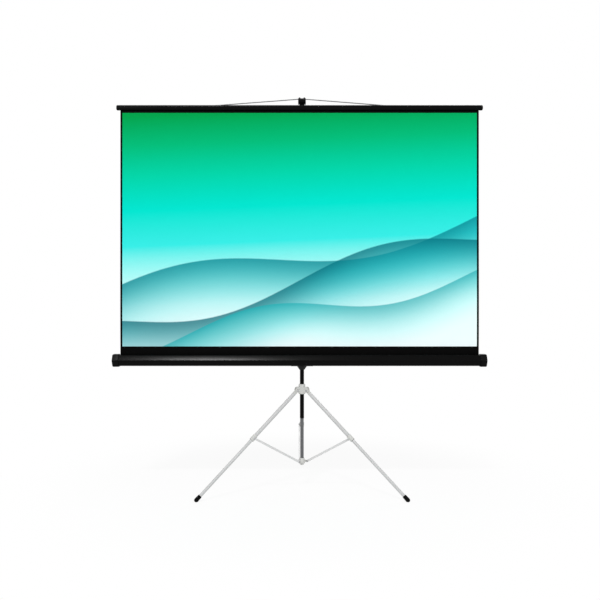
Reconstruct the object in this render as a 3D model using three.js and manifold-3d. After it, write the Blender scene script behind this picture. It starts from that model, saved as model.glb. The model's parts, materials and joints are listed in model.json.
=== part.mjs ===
// Tripod projection screen: a spring-rolled screen in a case, on a folding three-leg stand.
// Millimetres, +Z up. The viewer stands at -Y, the pole's axis is the line that the pieces are set out from.
import * as THREE from 'three';
import { mergeVertices } from 'three/addons/utils/BufferGeometryUtils.js';
import Module from 'manifold-3d';

const wasm = await Module();
wasm.setup();

// Fits and facets
const FIT = 0.35;
const WELD = 1e-4;
const OVERCUT = 1;
const TUBE_SIDES = 24;
const LEG_SIDES = 14;
const PIN_SIDES = 12;

// Screen fabric
const PICTURE_WIDTH = 1772;
const PICTURE_HEIGHT = 1170;
const SIDE_BORDER = 10;
const TOP_HEM = 10;
const BOTTOM_BORDER = 41.2;
const FABRIC_THICKNESS = 0.6;
const HEM_IN_BATTEN = 6;
const SCREEN_SHIFT = -12;

// Case, a hexagonal tube with a flat top, and its end caps
const CASE_HEIGHT_ABOVE_FLOOR = 647.3;
const CASE_FLATS = 55;
const CASE_WALL = 1.2;
const CASE_CORNER = 6;
const CASE_OVERHANG = 34;
const CAP_LENGTH = 32;
const CAP_FLARE = 3.8;
const CAP_END_WALL = 8;
const CAP_ROUNDING = 6;
const BEARING_LENGTH = 18;
const BEARING_RADIUS = 9;
const SLOT_FRONT = 5;
const SLOT_REAR = 15;

// Spring roller
const ROLLER_RADIUS = 11.7;
const ROLLER_WALL = 1.2;
const ROLLER_END_PLAY = 1;
const ROLLER_PLUG_LENGTH = 20;
const JOURNAL_RADIUS = 4;
const SPRING_SHAFT_RADIUS = 3;
const SPRING_SHAFT_REACH = 190;
const SPRING_WIRE_RADIUS = 0.8;
const SPRING_TURNS = 18;
const SPRING_PITCH = 5;
const SPRING_STEPS_PER_TURN = 8;
const SPRING_WIRE_SIDES = 5;

// Batten and bail
const BATTEN_HEIGHT = 26;
const BATTEN_DEPTH = 20;
const BATTEN_WALL = 1.2;
const BATTEN_CORNER = 9;
const BATTEN_OVERHANG = 20;
const BATTEN_CAP_LENGTH = 10;
const BATTEN_CAP_ROUNDING = 6;
const BATTEN_PLUG_LENGTH = 8;
const BAIL_WIRE_RADIUS = 2.4;
const BAIL_HALF_SPAN = 555;
const BAIL_RISE = 45;
const BAIL_TAIL = 10;
const BAIL_SIDES = 10;
const EYE_BEHIND_BATTEN = 5;
const EYE_ABOVE_MIDDLE = 6;
const EYE_WALL = 2.6;
const EYE_LENGTH = 16;
const EYE_FOOT_HEIGHT = 16;

// Pole, inner tubes, lock collar and hook
const POLE_RADIUS = 10.5;
const POLE_WALL = 1.2;
const POLE_LENGTH = 945;
const POLE_TAIL = 135;
const POLE_BUSH_LENGTH = 6;
const INNER_TUBE_WALL = 1.2;
const EXTENSION_LAP = 93;
const TUBE_STOP_LENGTH = 8;
const TUBE_STOP_PLUG = 16;
const TUBE_STOP_EDGE = 1;
const COLLAR_WALL = 5;
const COLLAR_HEIGHT = 46;
const COLLAR_LIP = 6;
const BUTTON_RADIUS = 5;
const BUTTON_TRAVEL = 3;
const BUTTON_PROUD = 4;
const BUTTON_BOSS_REACH = 11.5;
const BUTTON_BOSS_WALL = 3;
const HOOK_WIDTH = 39;
const HOOK_REACH = 22;
const HOOK_LIP = 7;
const HOOK_DEPTH_BELOW_WIRE = 22;
const HOOK_WALL_ABOVE_WIRE = 6;
const HOOK_BUMP_RADIUS = 4.6;
const HOOK_BUMP_SPACING = 24;
const HOOK_SOCKET_WALL = 3;
const HOOK_SOCKET_DEPTH = 32;

// Carrier that slides on the pole, its knob, handle and swivel
const CARRIER_RADIUS = 24.5;
const CARRIER_BELOW = 52;
const CARRIER_ABOVE = 48;
const CARRIER_TAPER = 16;
const CARRIER_NECK_WALL = 2.2;
const CARRIER_FRONT = 26;
const SWIVEL_RADIUS = 22;
const SWIVEL_DISC = 4.5;
const BOLT_RADIUS = 4;
const BOLT_HEAD_RADIUS = 7.5;
const BOLT_HEAD_HEIGHT = 3;
const BOLT_BEHIND_CASE = 0.8;
const BRACKET_WALL = 3;
const BRACKET_LENGTH = 110;
const BRACKET_WRAP = 17;
const KNOB_RADIUS = 15;
const KNOB_LOBES = 5;
const KNOB_LOBE_DEPTH = 2;
const KNOB_POINTS = 40;
const KNOB_LENGTH = 15;
const KNOB_SHAFT_RADIUS = 4;
const KNOB_BOSS_RADIUS = 9;
const KNOB_BOSS_REACH = 31;
const HANDLE_REACH = 34;
const HANDLE_HALF_HEIGHT = 34;
const HANDLE_GRIP_HALF = 24;
const HANDLE_WIDTH = 15;
const HANDLE_DEPTH = 11;
const HANDLE_STEPS = 20;
const HANDLE_SIDES = 10;

// Tripod
const LEG_SPREAD = THREE.MathUtils.degToRad(48.5);
const LEG_LENGTH = 727;
const LEG_PIVOT_RADIUS = 29;
const LEG_UPPER_RADIUS = 9.5;
const LEG_WALL = 1.2;
const LEG_LAP = 45;
const LEG_TUBE_START = 24;
const LEG_AZIMUTHS = [210, 330, 90].map(THREE.MathUtils.degToRad);
const TONGUE_THICKNESS = 10;
const TONGUE_RADIUS = 8;
const TONGUE_SHOULDER = 4;
const TONGUE_PLUG = 18;
const CHEEK_THICKNESS = 3.5;
const CHEEK_RADIUS = 11;
const HUB_WALL = 6;
const HUB_HEIGHT = 50;
const HUB_ABOVE_PIVOT = 32;
const HUB_CHAMFER = 2;
const PIVOT_PIN_RADIUS = 3;
const PIN_HEAD_RADIUS = 5;
const PIN_HEAD_HEIGHT = 1.8;
const FOOT_RADIUS = 10.5;
const FOOT_MOUTH_WALL = 1.8;
const FOOT_SLEEVE = 36;
const FOOT_FLAT = 2;
const BRACE_JOINT = 328;
const CLAMP_WALL = 2.2;
const CLAMP_LENGTH = 30;
const CLAMP_PAD = 14;
const BRACE_THICKNESS = 3;
const BRACE_WIDTH = 11;
const BRACE_PIN_RADIUS = 2.2;
const BRACE_HEAD_RADIUS = 4.5;
const BRACE_HEAD_HEIGHT = 1.5;
const SPREADER_DROP = 358;
const SPREADER_PIVOT_RADIUS = 24;
const SPREADER_COLLAR_WALL = 6;
const SPREADER_COLLAR_ABOVE = 16;
const SPREADER_COLLAR_BELOW = 11;
const SPREADER_LUG_THICKNESS = 3.5;
const SPREADER_TUBE_LENGTH = 530;

// Finishes
const finish = (color, roughness, metalness) =>
  new THREE.MeshStandardMaterial({ color, roughness, metalness });
const BLACK_ENAMEL = [0x111111, 0.35, 0.2];
const BLACK_PLASTIC = [0x141414, 0.5, 0];
const GREY_PLASTIC = [0xcdcdc9, 0.5, 0];
const GREY_ENAMEL = [0xd2d2d0, 0.4, 0.2];
const ZINC_STEEL = [0x6a6a6a, 0.4, 0.8];
const BRIGHT_STEEL = [0xb8b8b8, 0.3, 0.9];
const BLACK_RUBBER = [0x101010, 0.8, 0];
const SCREEN_CLOTH = [0xd8f2ee, 0.9, 0];

// Boolean joins and cuts of closed geometries
function toSolid(geometry) {
  const bare = geometry.clone();
  bare.deleteAttribute('normal');
  bare.deleteAttribute('uv');
  const merged = mergeVertices(bare, WELD);
  const corners = merged.index.array;
  const kept = [];
  for (let i = 0; i < corners.length; i += 3) {
    const [a, b, c] = corners.slice(i, i + 3);
    if (a !== b && b !== c && c !== a) kept.push(a, b, c);
  }
  return new wasm.Manifold(new wasm.Mesh({
    numProp: 3,
    vertProperties: new Float32Array(merged.attributes.position.array),
    triVerts: new Uint32Array(kept),
  }));
}

function toGeometry(solid) {
  const { vertProperties, triVerts } = solid.getMesh();
  const geometry = new THREE.BufferGeometry();
  geometry.setAttribute('position', new THREE.BufferAttribute(vertProperties, 3));
  geometry.setIndex(new THREE.BufferAttribute(triVerts, 1));
  return geometry;
}

const join = (first, ...more) =>
  toGeometry(more.reduce((sum, next) => sum.add(toSolid(next)), toSolid(first)));
const cut = (body, ...tools) =>
  toGeometry(tools.reduce((left, tool) => left.subtract(toSolid(tool)), toSolid(body)));
const common = (first, second) => toGeometry(toSolid(first).intersect(toSolid(second)));

// Directions: a form made along Z is laid along X, or along Y
const TO_X = new THREE.Matrix4().makeBasis(
  new THREE.Vector3(0, 1, 0), new THREE.Vector3(0, 0, 1), new THREE.Vector3(1, 0, 0));
const TO_Y = new THREE.Matrix4().makeBasis(
  new THREE.Vector3(0, 0, 1), new THREE.Vector3(1, 0, 0), new THREE.Vector3(0, 1, 0));
const alongX = (geometry) => geometry.applyMatrix4(TO_X);
const alongY = (geometry) => geometry.applyMatrix4(TO_Y);

// Basic forms
function turned(profile, sides) {
  const points = profile.map(([radius, height]) => new THREE.Vector2(radius, height));
  return new THREE.LatheGeometry(points, sides).rotateX(Math.PI / 2);
}

const rod = (radius, from, to, sides = PIN_SIDES) =>
  turned([[0, from], [radius, from], [radius, to], [0, to]], sides);

const ring = (outer, inner, from, to, sides = TUBE_SIDES) =>
  turned([[inner, from], [outer, from], [outer, to], [inner, to], [inner, from]], sides);

const slab = (from, to) =>
  new THREE.BoxGeometry(to[0] - from[0], to[1] - from[1], to[2] - from[2])
    .translate((from[0] + to[0]) / 2, (from[1] + to[1]) / 2, (from[2] + to[2]) / 2);

function extruded(shape, from, to, curveSegments = 4) {
  const flat = new THREE.ExtrudeGeometry(shape, { depth: to - from, bevelEnabled: false, curveSegments });
  return flat.translate(0, 0, from);
}

// A shape drawn in X and Z, with its thickness along Y
function plate(shape, from, to, curveSegments = 6) {
  const flat = extruded(shape, -to, -from, curveSegments);
  return flat.rotateX(Math.PI / 2);
}

// A closed outline whose corners are drawn as short curves
function roundedOutline(corners, radius, Kind = THREE.Shape) {
  const shape = new Kind();
  corners.forEach((corner, i) => {
    const before = corners[(i + corners.length - 1) % corners.length];
    const after = corners[(i + 1) % corners.length];
    const toBefore = before.clone().sub(corner).normalize();
    const toAfter = after.clone().sub(corner).normalize();
    const setback = radius / Math.tan(Math.acos(toBefore.dot(toAfter)) / 2);
    const start = corner.clone().addScaledVector(toBefore, setback);
    const end = corner.clone().addScaledVector(toAfter, setback);
    if (i === 0) shape.moveTo(start.x, start.y);
    else shape.lineTo(start.x, start.y);
    shape.quadraticCurveTo(corner.x, corner.y, end.x, end.y);
  });
  shape.closePath();
  return shape;
}

function hexagonOutline(flats, corner, Kind) {
  const reach = flats / Math.sqrt(3);
  const corners = [0, 1, 2, 3, 4, 5].map((i) =>
    new THREE.Vector2(reach * Math.cos(i * Math.PI / 3), reach * Math.sin(i * Math.PI / 3)));
  return roundedOutline(corners, corner, Kind);
}

function boxOutline(width, height, corner, Kind) {
  const corners = [[1, 1], [-1, 1], [-1, -1], [1, -1]].map(([u, v]) =>
    new THREE.Vector2(u * width / 2, v * height / 2));
  return roundedOutline(corners, corner, Kind);
}

function ellipseOutline(width, height, sides) {
  const points = Array.from({ length: sides }, (_, i) => {
    const turn = 2 * Math.PI * i / sides;
    return new THREE.Vector2(Math.cos(turn) * width / 2, Math.sin(turn) * height / 2);
  });
  return new THREE.Shape(points);
}

const facetInset = (sides) => Math.cos(Math.PI / sides);

// A bar with one end face rounded over and the other cut square, from 0 to length along Z
function roundEnded(shape, length, rounding) {
  const blank = new THREE.ExtrudeGeometry(shape, {
    depth: length - rounding, bevelThickness: rounding, bevelSize: rounding, bevelOffset: -rounding,
    bevelSegments: 3, curveSegments: 4,
  });
  const size = new THREE.Box3().setFromBufferAttribute(blank.attributes.position);
  size.expandByScalar(OVERCUT);
  const { min, max } = size;
  const spare = slab([min.x, min.y, min.z], [max.x, max.y, 0]);
  return cut(blank, spare);
}

// A wire bent at a few points: each point of the list is one ring of the swept section
class BentWire extends THREE.Curve {
  constructor(points) {
    super();
    this.points = points;
  }

  getPoint(t) {
    const place = t * (this.points.length - 1);
    const index = Math.min(Math.floor(place), this.points.length - 2);
    return this.points[index].clone().lerp(this.points[index + 1], place - index);
  }

  getPointAt(t) {
    return this.getPoint(t);
  }

  getTangentAt(t) {
    return this.getTangent(t);
  }
}

class Helix extends THREE.Curve {
  constructor(radius, pitch, turns) {
    super();
    Object.assign(this, { radius, pitch, turns });
  }

  getPoint(t) {
    const angle = 2 * Math.PI * this.turns * t;
    const height = this.pitch * this.turns * t;
    return new THREE.Vector3(this.radius * Math.cos(angle), this.radius * Math.sin(angle), height);
  }
}

const swept = (section, path, steps) =>
  new THREE.ExtrudeGeometry(section, { extrudePath: path, steps, bevelEnabled: false });

// Scene graph
const screenStand = new THREE.Group();

function place(parent, name, geometry, [color, roughness, metalness]) {
  const mesh = new THREE.Mesh(geometry, finish(color, roughness, metalness));
  mesh.name = name;
  parent.add(mesh);
  return mesh;
}

function groupAt(parent, x, y, z) {
  const group = new THREE.Group();
  group.position.set(x, y, z);
  parent.add(group);
  return group;
}

// Heights and places that follow from the driving dimensions
const footCentreHeight = FOOT_RADIUS - FOOT_FLAT;
const legPivotHeight = footCentreHeight + LEG_LENGTH * Math.cos(LEG_SPREAD);
const poleBottom = legPivotHeight - POLE_TAIL;
const poleTop = poleBottom + POLE_LENGTH;
const poleBore = POLE_RADIUS - POLE_WALL;
const innerTubeRadius = poleBore * facetInset(TUBE_SIDES) - FIT;
const innerTubeBore = innerTubeRadius - INNER_TUBE_WALL;
const poleSleeve = POLE_RADIUS / facetInset(TUBE_SIDES) + FIT;

const fabricWidth = PICTURE_WIDTH + 2 * SIDE_BORDER;
const caseCornerReach = CASE_FLATS / Math.sqrt(3) - CASE_CORNER * (2 / Math.sqrt(3) - 1) / 2;
const bracketRear = -(CARRIER_FRONT + FIT);
const bracketFront = bracketRear - SWIVEL_DISC;
const boltHeadFront = bracketFront - FIT - BOLT_HEAD_HEIGHT;
const caseAxisY = boltHeadFront - BOLT_BEHIND_CASE - caseCornerReach;
const fabricOffset = ROLLER_RADIUS + FIT + FABRIC_THICKNESS / 2;
const fabricY = caseAxisY + fabricOffset;
const fabricBottom = CASE_HEIGHT_ABOVE_FLOOR;
const battenBottom = CASE_HEIGHT_ABOVE_FLOOR + CASE_FLATS / 2 + BOTTOM_BORDER + PICTURE_HEIGHT + TOP_HEM;
const battenMiddle = battenBottom + BATTEN_HEIGHT / 2;

const bailPivotY = fabricY + BATTEN_DEPTH / 2 + EYE_BEHIND_BATTEN;
const bailPivotZ = battenMiddle + EYE_ABOVE_MIDDLE;
const wireAtHookZ = bailPivotZ + BAIL_RISE;

// Pole and what is fixed to it
function buildPole() {
  place(screenStand, 'main_pole', ring(POLE_RADIUS, poleBore, poleBottom, poleTop), BLACK_ENAMEL);
  const bushTop = poleBottom - FIT;
  const bushBore = innerTubeRadius / facetInset(TUBE_SIDES) + FIT;
  const bush = ring(POLE_RADIUS, bushBore, bushTop - POLE_BUSH_LENGTH, bushTop);
  place(screenStand, 'pole_bottom_bush', bush, BLACK_PLASTIC);
}

// Lock collar at the head of the pole, with a boss behind it for the push button
const collarTop = poleTop + COLLAR_LIP;
const buttonHeight = collarTop - COLLAR_HEIGHT / 2;
const buttonBossEnd = POLE_RADIUS + BUTTON_BOSS_REACH;
const buttonInnerEnd = poleSleeve + BUTTON_TRAVEL + FIT;

function buildLockCollar() {
  const collarRadius = poleSleeve + COLLAR_WALL;
  const collarBottom = collarTop - COLLAR_HEIGHT;
  const lipBore = innerTubeRadius / facetInset(TUBE_SIDES) + FIT;
  const edge = COLLAR_WALL / 2;
  const collar = turned([
    [0, collarBottom], [collarRadius - edge, collarBottom], [collarRadius, collarBottom + edge],
    [collarRadius, collarTop - edge], [collarRadius - edge, collarTop], [0, collarTop],
  ], TUBE_SIDES);
  const sleeve = turned([
    [0, collarBottom - OVERCUT], [poleSleeve, collarBottom - OVERCUT], [poleSleeve, poleTop + FIT],
    [lipBore, poleTop + FIT], [lipBore, collarTop + OVERCUT], [0, collarTop + OVERCUT],
  ], TUBE_SIDES);
  const bossRadius = BUTTON_RADIUS + FIT + BUTTON_BOSS_WALL;
  const boss = alongY(rod(bossRadius, 0, buttonBossEnd, LEG_SIDES));
  const bore = alongY(rod(BUTTON_RADIUS + FIT, 0, buttonBossEnd + OVERCUT, LEG_SIDES));
  for (const form of [boss, bore]) form.translate(0, 0, buttonHeight);
  place(screenStand, 'pole_top_collar', cut(join(collar, boss), bore, sleeve), BLACK_PLASTIC);

  const buttonEnd = buttonBossEnd + BUTTON_PROUD;
  const crown = BUTTON_PROUD / 4;
  const button = alongY(turned([
    [0, buttonInnerEnd], [BUTTON_RADIUS, buttonInnerEnd], [BUTTON_RADIUS, buttonEnd - crown],
    [BUTTON_RADIUS - crown, buttonEnd], [0, buttonEnd],
  ], LEG_SIDES));
  place(screenStand, 'extension_button', button.translate(0, 0, buttonHeight), BRIGHT_STEEL);
}

// Extension tube with its stop and the hook that holds the bail
const extensionTop = wireAtHookZ - HOOK_SOCKET_WALL;
const extensionBottom = poleTop - EXTENSION_LAP;

function tubeStop(height) {
  const plugRadius = innerTubeBore * facetInset(TUBE_SIDES) - FIT;
  const seat = -FIT;
  const flange = seat - TUBE_STOP_LENGTH;
  const stop = turned([
    [0, flange], [innerTubeRadius - TUBE_STOP_EDGE, flange],
    [innerTubeRadius, flange + TUBE_STOP_EDGE], [innerTubeRadius, seat],
    [plugRadius, seat], [plugRadius, TUBE_STOP_PLUG], [0, TUBE_STOP_PLUG],
  ], TUBE_SIDES);
  return stop.translate(0, 0, height);
}

function buildExtension() {
  const tube = ring(innerTubeRadius, innerTubeBore, extensionBottom, extensionTop);
  place(screenStand, 'extension_tube', tube, BRIGHT_STEEL);
  place(screenStand, 'extension_stop', tubeStop(extensionBottom), BLACK_PLASTIC);

  const socketBore = innerTubeRadius / facetInset(TUBE_SIDES) + FIT;
  const socketRadius = socketBore + HOOK_SOCKET_WALL;
  const socketTop = extensionTop + FIT;
  const socketBottom = extensionTop - HOOK_SOCKET_DEPTH;
  const socket = rod(socketRadius, socketBottom, socketTop + HOOK_SOCKET_WALL, TUBE_SIDES);
  const bore = rod(socketBore, socketBottom - OVERCUT, socketTop, TUBE_SIDES);

  // The cup's front slope keeps clear of the wire as the bail swings forward about its eyes.
  const wireY = -HOOK_REACH;
  const swing = Math.hypot(HOOK_REACH + bailPivotY, BAIL_RISE) - BAIL_WIRE_RADIUS - FIT;
  const lipY = wireY - BAIL_WIRE_RADIUS - HOOK_LIP;
  const lipTop = bailPivotZ + Math.sqrt(swing ** 2 - (lipY - bailPivotY) ** 2) - FIT;
  const floor = wireAtHookZ - BAIL_WIRE_RADIUS - FIT;
  const wallFront = wireY + BAIL_WIRE_RADIUS + FIT;
  const wallTop = wireAtHookZ + HOOK_WALL_ABOVE_WIRE;
  const underside = wireAtHookZ - HOOK_DEPTH_BELOW_WIRE;
  const arm = new THREE.Shape();
  arm.moveTo(0, underside);
  arm.lineTo(0, wallTop);
  arm.lineTo(wallFront, wallTop);
  arm.lineTo(wallFront, floor);
  arm.lineTo(wireY - BAIL_WIRE_RADIUS / 2, floor);
  arm.lineTo(lipY, lipTop);
  arm.quadraticCurveTo(lipY, underside, wireY, underside);
  arm.closePath();
  const block = alongX(extruded(arm, -HOOK_WIDTH / 2, HOOK_WIDTH / 2));
  const bumps = [-1, 1].map((side) =>
    alongY(rod(HOOK_BUMP_RADIUS, wallFront, -HOOK_SOCKET_WALL, LEG_SIDES))
      .translate(side * HOOK_BUMP_SPACING / 2, 0, wallTop));
  place(screenStand, 'extension_hook', cut(join(socket, block, ...bumps), bore), BLACK_PLASTIC);
}

// Carrier: a moulded sleeve on the pole that holds the case, with its knob and carry handle
function buildCarrier() {
  const carrier = groupAt(screenStand, 0, 0, CASE_HEIGHT_ABOVE_FLOOR);
  const neck = poleSleeve + CARRIER_NECK_WALL;
  const sleeve = turned([
    [0, -CARRIER_BELOW], [neck, -CARRIER_BELOW], [CARRIER_RADIUS, CARRIER_TAPER - CARRIER_BELOW],
    [CARRIER_RADIUS, CARRIER_ABOVE - CARRIER_TAPER / 2], [neck + CARRIER_TAPER / 4, CARRIER_ABOVE],
    [0, CARRIER_ABOVE],
  ], TUBE_SIDES);
  const swivelBoss = alongY(rod(SWIVEL_RADIUS, -CARRIER_FRONT, 0, TUBE_SIDES));
  const knobBoss = alongX(rod(KNOB_BOSS_RADIUS, 0, KNOB_BOSS_REACH, LEG_SIDES));
  const poleBoreTool = rod(poleSleeve, -CARRIER_BELOW - OVERCUT, CARRIER_ABOVE + OVERCUT, TUBE_SIDES);
  const boltEnd = -(poleSleeve + FIT);
  const boltHole = alongY(rod(BOLT_RADIUS + FIT, -CARRIER_FRONT - OVERCUT, 0, PIN_SIDES));
  const knobHole = alongX(rod(KNOB_SHAFT_RADIUS + FIT, 0, KNOB_BOSS_REACH + OVERCUT, PIN_SIDES));
  const body = cut(join(sleeve, swivelBoss, knobBoss), poleBoreTool, boltHole, knobHole);
  place(carrier, 'carrier_body', body, BLACK_PLASTIC);

  const bolt = join(
    alongY(rod(BOLT_HEAD_RADIUS, boltHeadFront, boltHeadFront + BOLT_HEAD_HEIGHT, 6)),
    alongY(rod(BOLT_RADIUS, boltHeadFront, boltEnd, PIN_SIDES)));
  place(carrier, 'swivel_bolt', bolt, BRIGHT_STEEL);

  const lobes = Array.from({ length: KNOB_POINTS }, (_, i) => {
    const turn = 2 * Math.PI * i / KNOB_POINTS;
    const reach = KNOB_RADIUS - KNOB_LOBE_DEPTH * (1 - Math.cos(KNOB_LOBES * turn)) / 2;
    return new THREE.Vector2(reach * Math.cos(turn), reach * Math.sin(turn));
  });
  const grip = roundEnded(new THREE.Shape(lobes), KNOB_LENGTH, KNOB_LOBE_DEPTH);
  const shaft = rod(KNOB_SHAFT_RADIUS, poleSleeve, KNOB_BOSS_REACH + KNOB_LENGTH / 2);
  const knob = alongX(join(grip.translate(0, 0, KNOB_BOSS_REACH + FIT), shaft));
  place(carrier, 'carrier_knob', knob, BLACK_PLASTIC);

  const seat = CARRIER_RADIUS + FIT;
  const back = CARRIER_RADIUS + HANDLE_REACH;
  const path = new THREE.CatmullRomCurve3([
    [CARRIER_RADIUS / 2, -HANDLE_HALF_HEIGHT], [CARRIER_RADIUS + HANDLE_REACH / 2, -HANDLE_HALF_HEIGHT],
    [back, -HANDLE_GRIP_HALF], [back, HANDLE_GRIP_HALF],
    [CARRIER_RADIUS + HANDLE_REACH / 2, HANDLE_HALF_HEIGHT], [CARRIER_RADIUS / 2, HANDLE_HALF_HEIGHT],
  ].map(([y, z]) => new THREE.Vector3(0, y, z)), false, 'centripetal');
  const loop = swept(ellipseOutline(HANDLE_WIDTH, HANDLE_DEPTH, HANDLE_SIDES), path, HANDLE_STEPS);
  const clearOfSleeve = rod(seat, -CARRIER_BELOW * 2, CARRIER_ABOVE * 2, TUBE_SIDES);
  place(carrier, 'carry_handle', cut(loop, clearOfSleeve), BLACK_PLASTIC);
}

// Case: hexagonal shell with a slot in its top, end caps with bearings, and the cradle bracket behind it
const shellHalf = fabricWidth / 2 + CASE_OVERHANG - CAP_END_WALL - FIT;
const caseHalf = fabricWidth / 2 + CASE_OVERHANG;
const bearingEnd = caseHalf - CAP_END_WALL - BEARING_LENGTH;
const rollerHalf = bearingEnd - ROLLER_END_PLAY;

function endCap(side, boreRadius) {
  const outline = hexagonOutline(CASE_FLATS + 2 * CAP_FLARE, CASE_CORNER + CAP_FLARE);
  const cup = roundEnded(outline, CAP_LENGTH, CAP_ROUNDING);
  const depth = CAP_LENGTH - CAP_END_WALL;
  const socket = extruded(hexagonOutline(CASE_FLATS + 2 * FIT, CASE_CORNER), -OVERCUT, depth);
  const bearing = rod(BEARING_RADIUS, depth - BEARING_LENGTH, depth + OVERCUT, LEG_SIDES);
  const bore = rod(boreRadius, -OVERCUT, depth + CAP_END_WALL / 2, PIN_SIDES);
  const cap = cut(join(cut(cup, socket), bearing), bore).translate(0, 0, caseHalf - CAP_LENGTH);
  alongX(cap);
  if (side < 0) cap.rotateZ(Math.PI);
  return cap;
}

function caseBracket() {
  const half = BRACKET_LENGTH / 2;
  const past = half + OVERCUT;
  const wrapped = hexagonOutline(CASE_FLATS + 2 * (FIT + BRACKET_WALL), CASE_CORNER);
  const cleared = alongX(extruded(hexagonOutline(CASE_FLATS + 2 * FIT, CASE_CORNER), -past, past));
  const wrapFront = caseCornerReach - BRACKET_WRAP;
  const rear = slab([-half, wrapFront, -CASE_FLATS], [half, 2 * CASE_FLATS, CASE_FLATS]);
  const cradle = common(alongX(extruded(wrapped, -half, half)), rear);
  const discFront = caseCornerReach - BRACKET_WRAP / 2;
  const disc = alongY(rod(SWIVEL_RADIUS, discFront, bracketRear - caseAxisY, TUBE_SIDES));
  const hole = alongY(rod(BOLT_RADIUS + FIT, 0, CASE_FLATS * 2, PIN_SIDES));
  const pocket = alongY(rod(BOLT_HEAD_RADIUS + FIT, 0, bracketFront - caseAxisY, PIN_SIDES));
  return cut(join(cradle, disc), cleared, hole, pocket);
}

function buildCase() {
  const housing = groupAt(screenStand, SCREEN_SHIFT, caseAxisY, CASE_HEIGHT_ABOVE_FLOOR);
  const profile = hexagonOutline(CASE_FLATS, CASE_CORNER);
  profile.holes.push(hexagonOutline(CASE_FLATS - 2 * CASE_WALL, CASE_CORNER - CASE_WALL, THREE.Path));
  const slotEnd = shellHalf + OVERCUT;
  const slot = slab([-slotEnd, SLOT_FRONT, 0], [slotEnd, SLOT_REAR, CASE_FLATS]);
  const shell = cut(alongX(extruded(profile, -shellHalf, shellHalf)), slot);
  place(housing, 'case_shell', shell, BLACK_ENAMEL);
  place(housing, 'case_cap_left', endCap(-1, JOURNAL_RADIUS + FIT), BLACK_PLASTIC);
  place(housing, 'case_cap_right', endCap(1, SPRING_SHAFT_RADIUS + FIT), BLACK_PLASTIC);
  const bracket = place(housing, 'case_bracket', caseBracket(), BLACK_PLASTIC);
  bracket.position.x = -SCREEN_SHIFT;

  const shaftEnd = caseHalf - CAP_END_WALL / 2 - FIT;
  const shaftStart = rollerHalf - ROLLER_PLUG_LENGTH - SPRING_SHAFT_REACH;
  place(housing, 'spring_shaft', alongX(rod(SPRING_SHAFT_RADIUS, shaftStart, shaftEnd)), ZINC_STEEL);
  const coil = new Helix(SPRING_SHAFT_RADIUS + FIT + SPRING_WIRE_RADIUS, SPRING_PITCH, SPRING_TURNS);
  const wire = ellipseOutline(2 * SPRING_WIRE_RADIUS, 2 * SPRING_WIRE_RADIUS, SPRING_WIRE_SIDES);
  const spring = alongX(swept(wire, coil, SPRING_TURNS * SPRING_STEPS_PER_TURN));
  const coilEnd = rollerHalf - ROLLER_PLUG_LENGTH - 2 * SPRING_WIRE_RADIUS;
  spring.translate(coilEnd - SPRING_PITCH * SPRING_TURNS, 0, 0);
  place(housing, 'roller_spring', spring, BRIGHT_STEEL);

  const fabricTop = battenBottom + HEM_IN_BATTEN - CASE_HEIGHT_ABOVE_FLOOR;
  const fabric = slab(
    [-fabricWidth / 2, fabricOffset - FABRIC_THICKNESS / 2, fabricBottom - CASE_HEIGHT_ABOVE_FLOOR],
    [fabricWidth / 2, fabricOffset + FABRIC_THICKNESS / 2, fabricTop]);
  place(housing, 'screen_fabric', fabric, SCREEN_CLOTH);

  const roller = groupAt(housing, 0, 0, 0);
  const rollerBore = ROLLER_RADIUS - ROLLER_WALL;
  place(roller, 'roller_tube', alongX(ring(ROLLER_RADIUS, rollerBore, -rollerHalf, rollerHalf)), ZINC_STEEL);
  const plugRadius = rollerBore * facetInset(TUBE_SIDES) - FIT;
  const journalEnd = caseHalf - CAP_END_WALL - ROLLER_END_PLAY;
  const plugStart = rollerHalf - ROLLER_PLUG_LENGTH;
  const plug = () => rod(plugRadius, plugStart, rollerHalf, TUBE_SIDES);
  const closed = join(plug(), rod(JOURNAL_RADIUS, plugStart, journalEnd));
  place(roller, 'roller_plug_left', alongX(closed).rotateZ(Math.PI), BLACK_PLASTIC);
  const shaftBore = SPRING_SHAFT_RADIUS / facetInset(PIN_SIDES) + FIT;
  const open = cut(plug(), rod(shaftBore, plugStart - OVERCUT, rollerHalf + OVERCUT));
  place(roller, 'roller_plug_right', alongX(open), BLACK_PLASTIC);
}

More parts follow.
